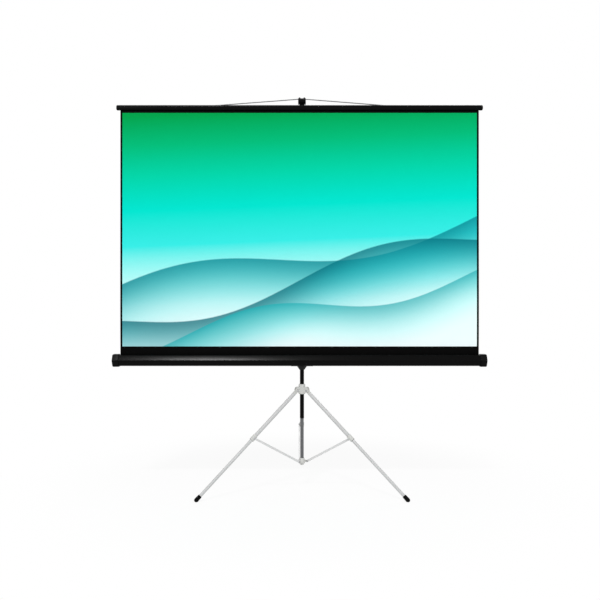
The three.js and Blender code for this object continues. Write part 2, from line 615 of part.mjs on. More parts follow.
// Batten that clamps the upper hem, its end caps, the eyes behind it and the wire bail
function buildBatten() {
  const batten = groupAt(screenStand, SCREEN_SHIFT, fabricY, battenMiddle);
  const tubeHalf = fabricWidth / 2 + BATTEN_OVERHANG - BATTEN_CAP_LENGTH - FIT;
  const profile = boxOutline(BATTEN_DEPTH, BATTEN_HEIGHT, BATTEN_CORNER);
  const boreDepth = BATTEN_DEPTH - 2 * BATTEN_WALL;
  const boreHeight = BATTEN_HEIGHT - 2 * BATTEN_WALL;
  profile.holes.push(boxOutline(boreDepth, boreHeight, BATTEN_CORNER - BATTEN_WALL, THREE.Path));
  const slotHalf = FABRIC_THICKNESS / 2 + FIT;
  const slotEnd = tubeHalf + OVERCUT;
  const slot = slab([-slotEnd, -slotHalf, -BATTEN_HEIGHT], [slotEnd, slotHalf, 0]);
  const tube = cut(alongX(extruded(profile, -tubeHalf, tubeHalf)), slot);
  place(batten, 'batten_tube', tube, BLACK_ENAMEL);

  const capStart = tubeHalf + FIT;
  for (const [name, side] of [['batten_cap_left', -1], ['batten_cap_right', 1]]) {
    const outline = boxOutline(BATTEN_DEPTH, BATTEN_HEIGHT, BATTEN_CORNER);
    const knuckle = roundEnded(outline, BATTEN_CAP_LENGTH, BATTEN_CAP_ROUNDING).translate(0, 0, capStart);
    const plugCorner = BATTEN_CORNER - BATTEN_WALL - FIT;
    const plugOutline = boxOutline(boreDepth - 2 * FIT, boreHeight - 2 * FIT, plugCorner);
    const plug = extruded(plugOutline, capStart - BATTEN_PLUG_LENGTH, capStart + OVERCUT);
    const cap = alongX(join(knuckle, plug));
    if (side < 0) cap.rotateZ(Math.PI);
    place(batten, name, cap, BLACK_PLASTIC);
  }

  const eyeY = BATTEN_DEPTH / 2 + EYE_BEHIND_BATTEN;
  const wireBore = BAIL_WIRE_RADIUS / facetInset(BAIL_SIDES) + FIT;
  const eyeRadius = wireBore + EYE_WALL;
  for (const [name, side] of [['bail_eye_left', -1], ['bail_eye_right', 1]]) {
    const eye = alongX(rod(eyeRadius, -EYE_LENGTH / 2, EYE_LENGTH / 2, LEG_SIDES));
    const seatY = BATTEN_DEPTH / 2 + FIT;
    const halfFoot = EYE_FOOT_HEIGHT / 2;
    const foot = slab(
      [-EYE_LENGTH / 2, seatY, -EYE_ABOVE_MIDDLE - halfFoot], [EYE_LENGTH / 2, seatY + EYE_WALL, halfFoot]);
    const bore = alongX(rod(wireBore, -EYE_LENGTH, EYE_LENGTH, BAIL_SIDES)).translate(0, eyeY, 0);
    const battenSide = slab([-EYE_LENGTH, 0, -BATTEN_HEIGHT], [EYE_LENGTH, seatY, BATTEN_HEIGHT]);
    const solid = cut(join(eye.translate(0, eyeY, 0), foot), bore, battenSide);
    place(batten, name, solid, BLACK_PLASTIC).position.set(side * BAIL_HALF_SPAN, 0, EYE_ABOVE_MIDDLE);
  }

  const bail = groupAt(batten, 0, eyeY, EYE_ABOVE_MIDDLE);
  const hookX = -SCREEN_SHIFT;
  const back = -HOOK_REACH - bailPivotY;
  const straight = EYE_LENGTH / 2 + BAIL_WIRE_RADIUS;
  const bends = [
    [-BAIL_HALF_SPAN - BAIL_TAIL, 0, 0], [-BAIL_HALF_SPAN + straight, 0, 0],
    [hookX - HOOK_WIDTH / 2, back, BAIL_RISE], [hookX + HOOK_WIDTH / 2, back, BAIL_RISE],
    [BAIL_HALF_SPAN - straight, 0, 0], [BAIL_HALF_SPAN + BAIL_TAIL, 0, 0],
  ].map(([x, y, z]) => new THREE.Vector3(x, y, z));
  const section = ellipseOutline(2 * BAIL_WIRE_RADIUS, 2 * BAIL_WIRE_RADIUS, BAIL_SIDES);
  place(bail, 'bail_wire', swept(section, new BentWire(bends), bends.length - 1), ZINC_STEEL);
}

// Round-ended strip from one pivot to another along X, with a hole at each end
function strap(length, width, holeRadius) {
  const shape = new THREE.Shape();
  shape.absarc(0, 0, width / 2, Math.PI / 2, 1.5 * Math.PI);
  shape.absarc(length, 0, width / 2, -Math.PI / 2, Math.PI / 2);
  shape.closePath();
  for (const x of [0, length]) {
    const hole = new THREE.Path();
    hole.absarc(x, 0, holeRadius, 0, 2 * Math.PI);
    shape.holes.push(hole);
  }
  return shape;
}

// Pin along Y with a head at each end
function headedPin(radius, headRadius, headHeight, from, to) {
  return alongY(turned([
    [0, from - headHeight], [headRadius, from - headHeight], [headRadius, from], [radius, from],
    [radius, to], [headRadius, to], [headRadius, to + headHeight], [0, to + headHeight],
  ], PIN_SIDES));
}

// Leg hub: a collar with a pair of cheeks for each leg
const cheekInner = TONGUE_THICKNESS / 2 + FIT;
const cheekOuter = cheekInner + CHEEK_THICKNESS;

function buildLegHub() {
  const hubRadius = poleSleeve + HUB_WALL;
  const top = HUB_ABOVE_PIVOT;
  const bottom = HUB_ABOVE_PIVOT - HUB_HEIGHT;
  const collar = turned([
    [poleSleeve, bottom], [hubRadius - HUB_CHAMFER, bottom], [hubRadius, bottom + HUB_CHAMFER],
    [hubRadius, top - HUB_CHAMFER], [hubRadius - HUB_CHAMFER, top], [poleSleeve, top], [poleSleeve, bottom],
  ], TUBE_SIDES);
  const ear = new THREE.Shape();
  const root = poleSleeve + OVERCUT;
  ear.moveTo(root, -CHEEK_RADIUS);
  ear.lineTo(LEG_PIVOT_RADIUS, -CHEEK_RADIUS);
  ear.absarc(LEG_PIVOT_RADIUS, 0, CHEEK_RADIUS, -Math.PI / 2, Math.PI / 2);
  ear.lineTo(root, CHEEK_RADIUS);
  ear.closePath();
  const hole = PIVOT_PIN_RADIUS / facetInset(PIN_SIDES) + FIT;
  const cheeks = [];
  const holes = [];
  for (const azimuth of LEG_AZIMUTHS) {
    cheeks.push(plate(ear, cheekInner, cheekOuter).rotateZ(azimuth));
    cheeks.push(plate(ear, -cheekOuter, -cheekInner).rotateZ(azimuth));
    const bore = alongY(rod(hole, -2 * cheekOuter, 2 * cheekOuter)).translate(LEG_PIVOT_RADIUS, 0, 0);
    holes.push(bore.rotateZ(azimuth));
  }
  const hub = groupAt(screenStand, 0, 0, legPivotHeight);
  place(hub, 'leg_hub', cut(join(collar, ...cheeks), ...holes), GREY_PLASTIC);
}

// One leg: end fitting, upper and lower tube, brace clamp and rubber foot, hanging from its pivot along -Z
const braceInner = LEG_UPPER_RADIUS + FIT + CLAMP_WALL + 2 * FIT;

function buildLeg(number, azimuth) {
  const side = new THREE.Group();
  side.rotation.z = azimuth;
  screenStand.add(side);
  const headSeat = cheekOuter + FIT;
  const pin = headedPin(PIVOT_PIN_RADIUS, PIN_HEAD_RADIUS, PIN_HEAD_HEIGHT, -headSeat, headSeat);
  place(side, `leg_pin_${number}`, pin, BRIGHT_STEEL).position.set(LEG_PIVOT_RADIUS, 0, legPivotHeight);

  const leg = groupAt(side, LEG_PIVOT_RADIUS, 0, legPivotHeight);
  leg.rotation.y = -LEG_SPREAD;
  const upperBore = LEG_UPPER_RADIUS - LEG_WALL;
  const shoulder = LEG_TUBE_START - FIT;
  const tongueShape = new THREE.Shape();
  tongueShape.moveTo(TONGUE_RADIUS, 0);
  tongueShape.absarc(0, 0, TONGUE_RADIUS, 0, Math.PI);
  tongueShape.lineTo(-TONGUE_RADIUS, OVERCUT - shoulder);
  tongueShape.lineTo(TONGUE_RADIUS, OVERCUT - shoulder);
  tongueShape.closePath();
  const tongue = plate(tongueShape, -TONGUE_THICKNESS / 2, TONGUE_THICKNESS / 2);
  const plugRadius = upperBore * facetInset(LEG_SIDES) - FIT;
  const plug = turned([
    [0, -shoulder - TONGUE_PLUG], [plugRadius, -shoulder - TONGUE_PLUG], [plugRadius, -shoulder],
    [LEG_UPPER_RADIUS, -shoulder], [LEG_UPPER_RADIUS, TONGUE_SHOULDER / 2 - shoulder],
    [TONGUE_THICKNESS / 2, TONGUE_SHOULDER - shoulder], [0, TONGUE_SHOULDER - shoulder],
  ], LEG_SIDES);
  const pinBore = PIVOT_PIN_RADIUS / facetInset(PIN_SIDES) + FIT;
  const pinHole = alongY(rod(pinBore, -TONGUE_THICKNESS, TONGUE_THICKNESS));
  place(leg, `leg_end_${number}`, cut(join(tongue, plug), pinHole), GREY_PLASTIC);

  const upperEnd = BRACE_JOINT + CLAMP_LENGTH / 2;
  place(leg, `leg_upper_${number}`,
    ring(LEG_UPPER_RADIUS, upperBore, -upperEnd, -LEG_TUBE_START, LEG_SIDES), GREY_ENAMEL);
  const lowerEnd = LEG_LENGTH - FOOT_RADIUS;
  const lowerRadius = plugRadius;
  place(leg, `leg_lower_${number}`,
    ring(lowerRadius, lowerRadius - LEG_WALL, -lowerEnd, -upperEnd + LEG_LAP, LEG_SIDES), GREY_ENAMEL);

  const clampBore = LEG_UPPER_RADIUS / facetInset(LEG_SIDES) + FIT;
  const padFace = braceInner - FIT;
  const clampTop = -BRACE_JOINT + CLAMP_LENGTH / 2 + FIT;
  const sleeve = rod(clampBore + CLAMP_WALL - FIT, clampTop - CLAMP_LENGTH, clampTop, LEG_SIDES);
  const halfPad = CLAMP_PAD / 2;
  const pad = slab([-halfPad, 0, -BRACE_JOINT - halfPad], [halfPad, padFace, halfPad - BRACE_JOINT]);
  const bore = rod(clampBore, clampTop - CLAMP_LENGTH - OVERCUT, clampTop + OVERCUT, LEG_SIDES);
  place(leg, `leg_clamp_${number}`, cut(join(sleeve, pad), bore), GREY_PLASTIC);

  const mouth = LEG_LENGTH - FOOT_SLEEVE;
  const footBore = lowerRadius / facetInset(LEG_SIDES) + FIT;
  const ball = Array.from({ length: 5 }, (_, i) => {
    const turn = i * Math.PI / 8;
    return [FOOT_RADIUS * Math.sin(turn), -LEG_LENGTH - FOOT_RADIUS * Math.cos(turn)];
  });
  const boot = turned([
    ...ball, [footBore + FOOT_MOUTH_WALL, -mouth], [footBore, -mouth], [footBore, -lowerEnd - FIT],
    [0, -lowerEnd - FIT],
  ], LEG_SIDES);
  leg.updateMatrix();
  const span = 2 * LEG_LENGTH;
  const ground = slab([-span, -span, -span], [span, span, 0]).applyMatrix4(leg.matrix.clone().invert());
  place(leg, `leg_foot_${number}`, cut(boot, ground), BLACK_RUBBER);
}

// Spreader: the inner tube that slides out of the pole, with a collar that carries the braces
const spreaderPivotHeight = legPivotHeight - SPREADER_DROP;
const lugOuter = braceInner - FIT;
const lugInner = lugOuter - SPREADER_LUG_THICKNESS;
const bracePinRise = BRACE_THICKNESS + FIT;

function buildSpreader() {
  const spreader = groupAt(screenStand, 0, 0, spreaderPivotHeight);
  const tubeBottom = FIT - SPREADER_COLLAR_BELOW;
  const tube = ring(innerTubeRadius, innerTubeBore, tubeBottom, tubeBottom + SPREADER_TUBE_LENGTH);
  place(spreader, 'spreader_tube', tube, ZINC_STEEL);
  place(spreader, 'spreader_plug', tubeStop(tubeBottom), GREY_PLASTIC);

  const bore = innerTubeRadius / facetInset(TUBE_SIDES) + FIT;
  const collarRadius = bore + SPREADER_COLLAR_WALL;
  const collar = turned([
    [0, -SPREADER_COLLAR_BELOW], [collarRadius, -SPREADER_COLLAR_BELOW], [collarRadius, 0],
    [collarRadius - SPREADER_COLLAR_WALL / 2, SPREADER_COLLAR_ABOVE], [0, SPREADER_COLLAR_ABOVE],
  ], TUBE_SIDES);
  const lug = new THREE.Shape();
  const lugRadius = BRACE_WIDTH / 2;
  lug.moveTo(0, -lugRadius);
  lug.lineTo(SPREADER_PIVOT_RADIUS, -lugRadius);
  lug.absarc(SPREADER_PIVOT_RADIUS, 0, lugRadius, -Math.PI / 2, Math.PI / 2);
  lug.lineTo(0, lugRadius);
  lug.closePath();
  const lugs = [];
  const holes = [rod(bore, -2 * SPREADER_COLLAR_BELOW, 2 * SPREADER_COLLAR_ABOVE, TUBE_SIDES)];
  for (const azimuth of LEG_AZIMUTHS) {
    lugs.push(plate(lug, lugInner, lugOuter).rotateZ(azimuth));
    const hole = alongY(rod(BRACE_PIN_RADIUS / facetInset(PIN_SIDES) + FIT, 0, 2 * lugOuter));
    holes.push(hole.translate(SPREADER_PIVOT_RADIUS, 0, 0).rotateZ(azimuth));
  }
  place(spreader, 'spreader_collar', cut(join(collar, ...lugs), ...holes), GREY_PLASTIC);
}

// Brace: a flat strip beside the leg, on a pin in the collar's lug, with a rivet at the leg's clamp
const braceJointRadius = LEG_PIVOT_RADIUS + BRACE_JOINT * Math.sin(LEG_SPREAD);
const braceJointHeight = legPivotHeight - BRACE_JOINT * Math.cos(LEG_SPREAD);
const braceRun = braceJointRadius - SPREADER_PIVOT_RADIUS;
const braceRise = braceJointHeight - spreaderPivotHeight;

function buildBrace(number, azimuth) {
  const side = new THREE.Group();
  side.rotation.z = azimuth;
  screenStand.add(side);
  const pivot = groupAt(side, SPREADER_PIVOT_RADIUS, 0, spreaderPivotHeight);
  const headFrom = lugInner - FIT;
  const headTo = braceInner + bracePinRise;
  const pin = headedPin(BRACE_PIN_RADIUS, BRACE_HEAD_RADIUS, BRACE_HEAD_HEIGHT, headFrom, headTo);
  place(pivot, `spreader_pin_${number}`, pin, BRIGHT_STEEL);

  const brace = groupAt(pivot, 0, 0, 0);
  brace.rotation.y = -Math.atan2(braceRise, braceRun);
  const length = Math.hypot(braceRun, braceRise);
  const shape = strap(length, BRACE_WIDTH, BRACE_PIN_RADIUS / facetInset(PIN_SIDES) + FIT);
  place(brace, `brace_${number}`, plate(shape, braceInner, braceInner + BRACE_THICKNESS), GREY_ENAMEL);
  const rivet = alongY(turned([
    [0, braceInner], [BRACE_PIN_RADIUS, braceInner], [BRACE_PIN_RADIUS, headTo], [BRACE_HEAD_RADIUS, headTo],
    [BRACE_HEAD_RADIUS - BRACE_HEAD_HEIGHT / 2, headTo + BRACE_HEAD_HEIGHT], [0, headTo + BRACE_HEAD_HEIGHT],
  ], PIN_SIDES));
  place(brace, `brace_rivet_${number}`, rivet, BRIGHT_STEEL).position.x = length;
}

buildPole();
buildLockCollar();
buildExtension();
buildCarrier();
buildCase();
buildBatten();
buildLegHub();
buildSpreader();
LEG_AZIMUTHS.forEach((azimuth, i) => {
  buildLeg(i + 1, azimuth);
  buildBrace(i + 1, azimuth);
});

// The part's origin is on the floor, under the middle of its footprint
const footprint = new THREE.Box3().setFromObject(screenStand, true);
const middle = footprint.getCenter(new THREE.Vector3());
screenStand.position.set(-middle.x, -middle.y, -footprint.min.z);
screenStand.updateMatrixWorld(true);

export default screenStand;
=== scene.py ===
# %% [markdown]
# # A projection screen on a tripod
# A cloth screen is drawn up out of a black case and hangs from a hook on a telescopic pole. The stand below
# it has three folding legs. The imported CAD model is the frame: it gives every piece its place, and the
# pieces made here are finer versions of its solids, with the finishes that the real ones have.

# %% The frame
import json
import math

import bmesh
import bpy
import numpy as np
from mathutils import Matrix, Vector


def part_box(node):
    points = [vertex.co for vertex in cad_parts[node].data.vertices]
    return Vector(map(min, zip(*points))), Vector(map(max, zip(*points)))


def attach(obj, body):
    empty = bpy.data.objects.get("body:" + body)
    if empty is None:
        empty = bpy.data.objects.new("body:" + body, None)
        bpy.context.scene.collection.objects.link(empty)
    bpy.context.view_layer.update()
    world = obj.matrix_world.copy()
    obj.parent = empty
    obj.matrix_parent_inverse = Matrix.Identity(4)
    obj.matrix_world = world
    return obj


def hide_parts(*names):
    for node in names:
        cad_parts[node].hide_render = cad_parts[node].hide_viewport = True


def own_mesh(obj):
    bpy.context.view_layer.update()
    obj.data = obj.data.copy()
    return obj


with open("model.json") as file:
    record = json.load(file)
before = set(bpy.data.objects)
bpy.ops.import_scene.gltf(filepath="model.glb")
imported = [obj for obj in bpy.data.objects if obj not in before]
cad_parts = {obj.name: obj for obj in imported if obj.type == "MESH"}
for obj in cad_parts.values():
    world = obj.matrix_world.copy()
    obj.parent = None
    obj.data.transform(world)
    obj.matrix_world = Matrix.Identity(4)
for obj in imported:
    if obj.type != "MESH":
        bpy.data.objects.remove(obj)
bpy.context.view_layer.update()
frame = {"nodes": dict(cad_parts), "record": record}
MM = 0.001

behaviour = frame["record"]["behaviour"]
BODY_OF = {node: body for body, nodes in behaviour["bodies"].items() for node in nodes}
SLOT_OF = {piece["node"]: piece["material_slot"] for piece in frame["record"]["subparts"]}
JOINTS = {joint["name"]: joint for joint in behaviour["joints"]}

# %% [markdown]
# ## Camera
# The photograph is a straight front view. The width of the cloth in it gives the scale, five millimetres to
# a pixel, and the small difference in scale between the cloth and the nearer front feet gives the distance.
# A level camera with no shift then puts the horizon in the middle of the picture.

# %% Camera
FRAME_PIXELS = 600
FOCAL_PIXELS = 760
SENSOR_WIDTH_MM = 36
CAMERA_DISTANCE = 3.8
CAMERA_HEIGHT = 0.948
CAMERA_SIDEWAYS = 0.002


def put_in_scene(name, data):
    """A new object at the origin, linked to the scene."""
    thing = bpy.data.objects.new(name, data)
    bpy.context.scene.collection.objects.link(thing)
    return thing


cloth_low, cloth_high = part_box("screen_fabric")
camera_data = bpy.data.cameras.new("camera")
camera_data.sensor_width = SENSOR_WIDTH_MM
camera_data.lens = SENSOR_WIDTH_MM * FOCAL_PIXELS / FRAME_PIXELS
camera = put_in_scene("camera", camera_data)
camera.location = (CAMERA_SIDEWAYS, cloth_low.y - CAMERA_DISTANCE, CAMERA_HEIGHT)
camera.rotation_euler = (math.pi / 2, 0, 0)
bpy.context.scene.camera = camera
bpy.context.scene.view_settings.view_transform = "Standard"
print(f"lens {camera_data.lens:.1f} mm, camera at {camera.location[:]}")

# %% [markdown]
# ## Colours and nodes
# Colours are written as sRGB hex values, as a paint chart gives them, and one function turns them into the
# linear values that a shader needs. Another small function adds a node with its settings and links, so that
# a material reads as a list of what feeds what.


# %% Colour and node helpers
def linear(hex_colour):
    """sRGB hex to linear RGBA: each channel is undone by the sRGB curve."""
    channels = np.array([int(hex_colour[i:i + 2], 16) for i in (1, 3, 5)]) / 255
    bright = ((channels + 0.055) / 1.055) ** 2.4
    return (*np.where(channels <= 0.04045, channels / 12.92, bright), 1.0)


def add_node(tree, kind, sockets=None, **settings):
    """Add a node: settings are its properties, sockets its inputs, each a value or another node's output."""
    node = tree.nodes.new(kind)
    for key, value in settings.items():
        setattr(node, key, value)
    for key, value in (sockets or {}).items():
        if isinstance(value, bpy.types.NodeSocket):
            tree.links.new(value, node.inputs[key])
        else:
            node.inputs[key].default_value = value
    return node


def empty_material(name):
    """A material with nothing but its output and its principled shader."""
    material = bpy.data.materials.new(name)
    material.use_nodes = True
    tree = material.node_tree
    return material, tree, tree.nodes["Principled BSDF"]


print("black paint in linear light:", linear("#111111"))

# %% [markdown]
# ## Sky and floor
# The photograph is a cut-out on white. A white floor and a white sky give that, and only rays from the
# camera, or seen in a gloss or a glass, find them at full strength. Close to the stand the floor shines a
# little less by itself. That paints a faint grey pool of shade round the stand, and lets its real soft
# shadow show there.

# %% Sky and floor
WHITE = "#FFFFFF"
FLOOR_PAINT = "#F4F4F4"
FLOOR_SPAN = 40
# Less own light near the stand paints a faint pool of shade on the floor there.
FLOOR_OWN_LIGHT = (0.9, 1.0)
FLOOR_FADE = (0.7, 1.6)
SKY_LIGHT = 0.42


def seen_directly(tree):
    """One where the ray comes from the camera, a gloss or a glass, and zero for soft light."""
    path = add_node(tree, "ShaderNodeLightPath")
    either = add_node(tree, "ShaderNodeMath", {
        0: path.outputs["Is Camera Ray"], 1: path.outputs["Is Glossy Ray"]}, operation="MAXIMUM")
    any_of = add_node(tree, "ShaderNodeMath", {
        0: either.outputs[0], 1: path.outputs["Is Transmission Ray"]}, operation="MAXIMUM")
    return any_of.outputs[0]


def white_floor():
    """Matt paint mixed with its own light, whose share for direct rays grows away from the stand, leaving a
    painted pool of shade near it.
    """
    material, tree, shader = empty_material("white_floor")
    tree.nodes.remove(shader)
    matt = add_node(tree, "ShaderNodeBsdfDiffuse", {"Color": linear(FLOOR_PAINT)})
    glow = add_node(tree, "ShaderNodeEmission", {"Color": linear(WHITE), "Strength": 1.0})
    spot = add_node(tree, "ShaderNodeTexCoord").outputs["Object"]
    from_stand = add_node(tree, "ShaderNodeVectorMath", {0: spot}, operation="LENGTH")
    own_light = add_node(tree, "ShaderNodeMapRange", {
        "Value": from_stand.outputs["Value"], "From Min": FLOOR_FADE[0], "From Max": FLOOR_FADE[1],
        "To Min": FLOOR_OWN_LIGHT[0], "To Max": FLOOR_OWN_LIGHT[1]}, interpolation_type="SMOOTHSTEP")
    share = add_node(tree, "ShaderNodeMath", {
        0: seen_directly(tree), 1: own_light.outputs["Result"]}, operation="MULTIPLY")
    mixed = add_node(tree, "ShaderNodeMixShader", {
        0: share.outputs[0], 1: matt.outputs[0], 2: glow.outputs[0]})
    tree.links.new(mixed.outputs[0], tree.nodes["Material Output"].inputs["Surface"])
    return material


world = bpy.data.worlds.new("white_studio")
world.use_nodes = True
bpy.context.scene.world = world
sky = world.node_tree
strength = add_node(sky, "ShaderNodeMapRange", {
    "Value": seen_directly(sky), "To Min": SKY_LIGHT, "To Max": 1.0})
sky.nodes["Background"].inputs["Color"].default_value = linear(WHITE)
sky.links.new(strength.outputs["Result"], sky.nodes["Background"].inputs["Strength"])

half_span = FLOOR_SPAN / 2
floor_corners = half_span * np.array([[-1, -1, 0], [1, -1, 0], [1, 1, 0], [-1, 1, 0]])
floor_mesh = bpy.data.meshes.new("floor")
floor_mesh.from_pydata(floor_corners.tolist(), [], [(0, 1, 2, 3)])
floor_mesh.materials.append(white_floor())
put_in_scene("floor", floor_mesh)
print(f"floor: {FLOOR_SPAN} m square")

# %% [markdown]
# ## Lamps
# What lights the object is soft: a large lamp on either side and one behind. A smaller lamp hangs far up in
# front on the left, where the upper front face of the black case mirrors it as the bright line that the
# photograph shows.

# %% Lamps
STAND_MIDDLE = (0, -0.2, 1.1)
BRIGHT_LINE = (-0.45, -0.24, 0.66)


def soft_lamp(name, place, target, width, height, watts):
    """A rectangular lamp at a place, turned so that it shines at a target."""
    data = bpy.data.lights.new(name, "AREA")
    data.shape = "RECTANGLE"
    data.size, data.size_y, data.energy = width, height, watts
    lamp = put_in_scene(name, data)
    lamp.location = place
    away = np.subtract(place, target)
    lamp.rotation_euler = (
        math.atan2(math.hypot(away[0], away[1]), away[2]), 0, math.atan2(away[1], away[0]) + math.pi / 2)


soft_lamp("key_lamp", (-2.6, -3.6, 3.2), STAND_MIDDLE, width=2.2, height=2.2, watts=34)
soft_lamp("fill_lamp", (3.0, -3.2, 2.4), STAND_MIDDLE, width=2.4, height=2.4, watts=36)
soft_lamp("back_lamp", (1.2, 3.6, 3.0), STAND_MIDDLE, width=2.4, height=2.4, watts=60)
soft_lamp("case_lamp", (-1.64, -6.4, 8.44), BRIGHT_LINE, width=1.4, height=0.6, watts=390)

# %% [markdown]
# ## Finishes
# Each finish is named for what it is. Paint, plastic and rubber share one recipe: two near colours in soft
# patches, and a fine grain that moves the height and the gloss. Bare metal uses the same recipe with its
# grain drawn out upright, along the inner tubes, as drawing through a die leaves it.

# %% Finishes
PATCH_NOISE = {"Detail": 3.0, "Roughness": 0.55}
GRAIN_NOISE = {"Detail": 2.0, "Roughness": 0.6}
GRAIN_RANGE = (0.3, 0.7)
ALONG_TUBE = (1, 1, 0.02)


def grained(name, colours, gloss, grain_mm, depth_mm, patch_mm, metallic=0.0, specular=0.5, along=(1, 1, 1)):
    """A finish of two near colours in patches, with a grain of the given size and depth.

    gloss is the smallest and largest roughness; along squeezes the pattern's coordinates, so that a small
    number draws it out in that direction.
    """
    material, tree, shader = empty_material(name)
    place = add_node(tree, "ShaderNodeTexCoord").outputs["Object"]
    drawn = add_node(tree, "ShaderNodeMapping", {"Vector": place, "Scale": along}).outputs["Vector"]
    patches = add_node(tree, "ShaderNodeTexNoise", {
        "Vector": drawn, "Scale": 1 / (patch_mm * MM), **PATCH_NOISE})
    grain = add_node(tree, "ShaderNodeTexNoise", {
        "Vector": drawn, "Scale": 1 / (grain_mm * MM), **GRAIN_NOISE})
    colour = add_node(tree, "ShaderNodeMix", {
        0: patches.outputs["Fac"], 6: linear(colours[0]), 7: linear(colours[1])}, data_type="RGBA")
    rough = add_node(tree, "ShaderNodeMapRange", {
        "Value": grain.outputs["Fac"], "From Min": GRAIN_RANGE[0], "From Max": GRAIN_RANGE[1],
        "To Min": gloss[0], "To Max": gloss[1]})
    relief = add_node(tree, "ShaderNodeBump", {
        "Height": grain.outputs["Fac"], "Distance": depth_mm * MM, "Strength": 1.0})
    tree.links.new(colour.outputs[2], shader.inputs["Base Color"])
    tree.links.new(rough.outputs["Result"], shader.inputs["Roughness"])
    tree.links.new(relief.outputs["Normal"], shader.inputs["Normal"])
    shader.inputs["Metallic"].default_value = metallic
    shader.inputs["Specular IOR Level"].default_value = specular
    return material


FINISHES = {
    # Stove enamel on rolled steel: deep black and glossy, with the faint orange peel that spraying leaves.
    "black_enamel": grained(
        "black_stove_enamel", ("#040404", "#070707"), gloss=(0.17, 0.23),
        grain_mm=5, depth_mm=0.003, patch_mm=120, specular=0.05),
    # Moulded ABS: black, with the fine spark-eroded grain of the mould.
    "black_plastic": grained(
        "black_moulded_abs", ("#040404", "#080808"), gloss=(0.3, 0.44),
        grain_mm=1.2, depth_mm=0.015, patch_mm=60, specular=0.06),
    # Moulded nylon of hub, clamps and lower collar: light grey with a satin face.
    "grey_plastic": grained(
        "light_grey_nylon", ("#C6C6C3", "#D0D0CD"), gloss=(0.36, 0.5),
        grain_mm=1.5, depth_mm=0.006, patch_mm=40, specular=0.3),
    # Powder coat on the leg tubes: light grey, slightly pebbled.
    "grey_enamel": grained(
        "light_grey_powder_coat", ("#C0C0C0", "#CCCCCC"), gloss=(0.28, 0.4),
        grain_mm=2, depth_mm=0.004, patch_mm=80, specular=0.3),
    # Zinc-plated tube: dull grey metal with long drawing lines.
    "zinc_steel": grained(
        "zinc_plated_steel", ("#565758", "#7E7F81"), gloss=(0.3, 0.45),
        grain_mm=1.5, depth_mm=0.006, patch_mm=4, metallic=1.0, along=ALONG_TUBE),
    # Bright drawn steel of the extension, wire, pins and bolts.
    "bright_steel": grained(
        "bright_drawn_steel", ("#949597", "#C0C1C3"), gloss=(0.18, 0.3),
        grain_mm=1.5, depth_mm=0.004, patch_mm=4, metallic=1.0, along=ALONG_TUBE),
    # The flat braces have the same coat as the tubes, in a copy painted a shade paler: painted light on the
    # braces.
    "brace_enamel": grained(
        "pale_grey_powder_coat", ("#D2D2D2", "#DCDCDC"), gloss=(0.3, 0.42),
        grain_mm=2, depth_mm=0.004, patch_mm=80, specular=0.3),
    # Glass-filled nylon of the carrier and what a hand takes hold of: black, coarser grained and duller.
    "grip_nylon": grained(
        "glass_filled_nylon", ("#0B0B0B", "#131313"), gloss=(0.4, 0.56),
        grain_mm=0.9, depth_mm=0.03, patch_mm=30, specular=0.22),
    # Moulded rubber of the feet: matt, with a faint bloom.
    "black_rubber": grained(
        "moulded_rubber", ("#050505", "#0A0A0A"), gloss=(0.62, 0.8),
        grain_mm=1.5, depth_mm=0.03, patch_mm=25, specular=0.06),
}
print("finishes:", [material.name for material in FINISHES.values()])

# %% [markdown]
# ## Surfaces
# Almost everything on this stand is a grid of points: a profile turned about a line, or a section carried
# along one. The grid is worked out as one numpy array and handed to Blender in one go. Points that meet at a
# pole or a seam are welded, and the faces are made to point outwards.

# %% Meshes and pieces
WELD = 1e-6
SMOOTH_BELOW = math.radians(32)


def solid_mesh(name, points, quads):
    """A welded mesh with outward faces from an array of points and an array of faces."""
    mesh = bpy.data.meshes.new(name)
    mesh.from_pydata(points.reshape(-1, 3).tolist(), [], quads.tolist())
    work = bmesh.new()
    work.from_mesh(mesh)
    bmesh.ops.remove_doubles(work, verts=work.verts, dist=WELD)
    bmesh.ops.dissolve_degenerate(work, edges=work.edges, dist=WELD)
    bmesh.ops.recalc_face_normals(work, faces=work.faces)
    work.to_mesh(mesh)
    work.free()
    return mesh


def grid_quads(rows, columns, loop_rows=False, loop_columns=False):
    """The four corners of each cell of a grid; a looped direction joins its last line to its first."""
    index = np.arange(rows * columns).reshape(rows, columns)
    if loop_rows:
        index = np.vstack([index, index[:1]])
    if loop_columns:
        index = np.hstack([index, index[:, :1]])
    corners = [index[:-1, :-1], index[1:, :-1], index[1:, 1:], index[:-1, 1:]]
    return np.stack(corners, axis=-1).reshape(-1, 4)


def ring_mesh(name, rings, closed=False):
    """A mesh of rings of points, each joined to the next; closed joins the last ring to the first."""
    return solid_mesh(name, rings, grid_quads(*rings.shape[:2], closed, True))


def make_piece(mesh, body, finish):
    """Make a mesh a piece of the stand, smooth but for its sharp edges, with its body and finish."""
    mesh.materials.clear()
    mesh.materials.append(finish)
    mesh.shade_smooth()
    mesh.set_sharp_from_angle(angle=SMOOTH_BELOW)
    piece = put_in_scene(mesh.name, mesh)
    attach(piece, body)
    return piece


def settle(mesh, node, finish=None):
    """Make a mesh the visible form of a CAD node: it takes the node's body and the finish of the node's slot.
    """
    slot = SLOT_OF[node]
    piece = make_piece(mesh, BODY_OF[node], finish or FINISHES[slot])
    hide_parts(node)
    return piece


def mesh_points(mesh):
    """The places of a mesh's points, one row each."""
    flat = np.empty(len(mesh.vertices) * 3, np.float32)
    mesh.vertices.foreach_get("co", flat)
    return flat.reshape(-1, 3)


def measured(node, origin, axis):
    """Where a node starts and ends along a line, and how far it reaches from it."""
    offset = mesh_points(frame["nodes"][node].data) - origin
    along = offset @ axis
    reach = np.linalg.norm(offset - along[:, None] * axis, axis=1)
    return along.min(), along.max(), reach.max()


print(f"points closer than {WELD / MM} mm are welded")

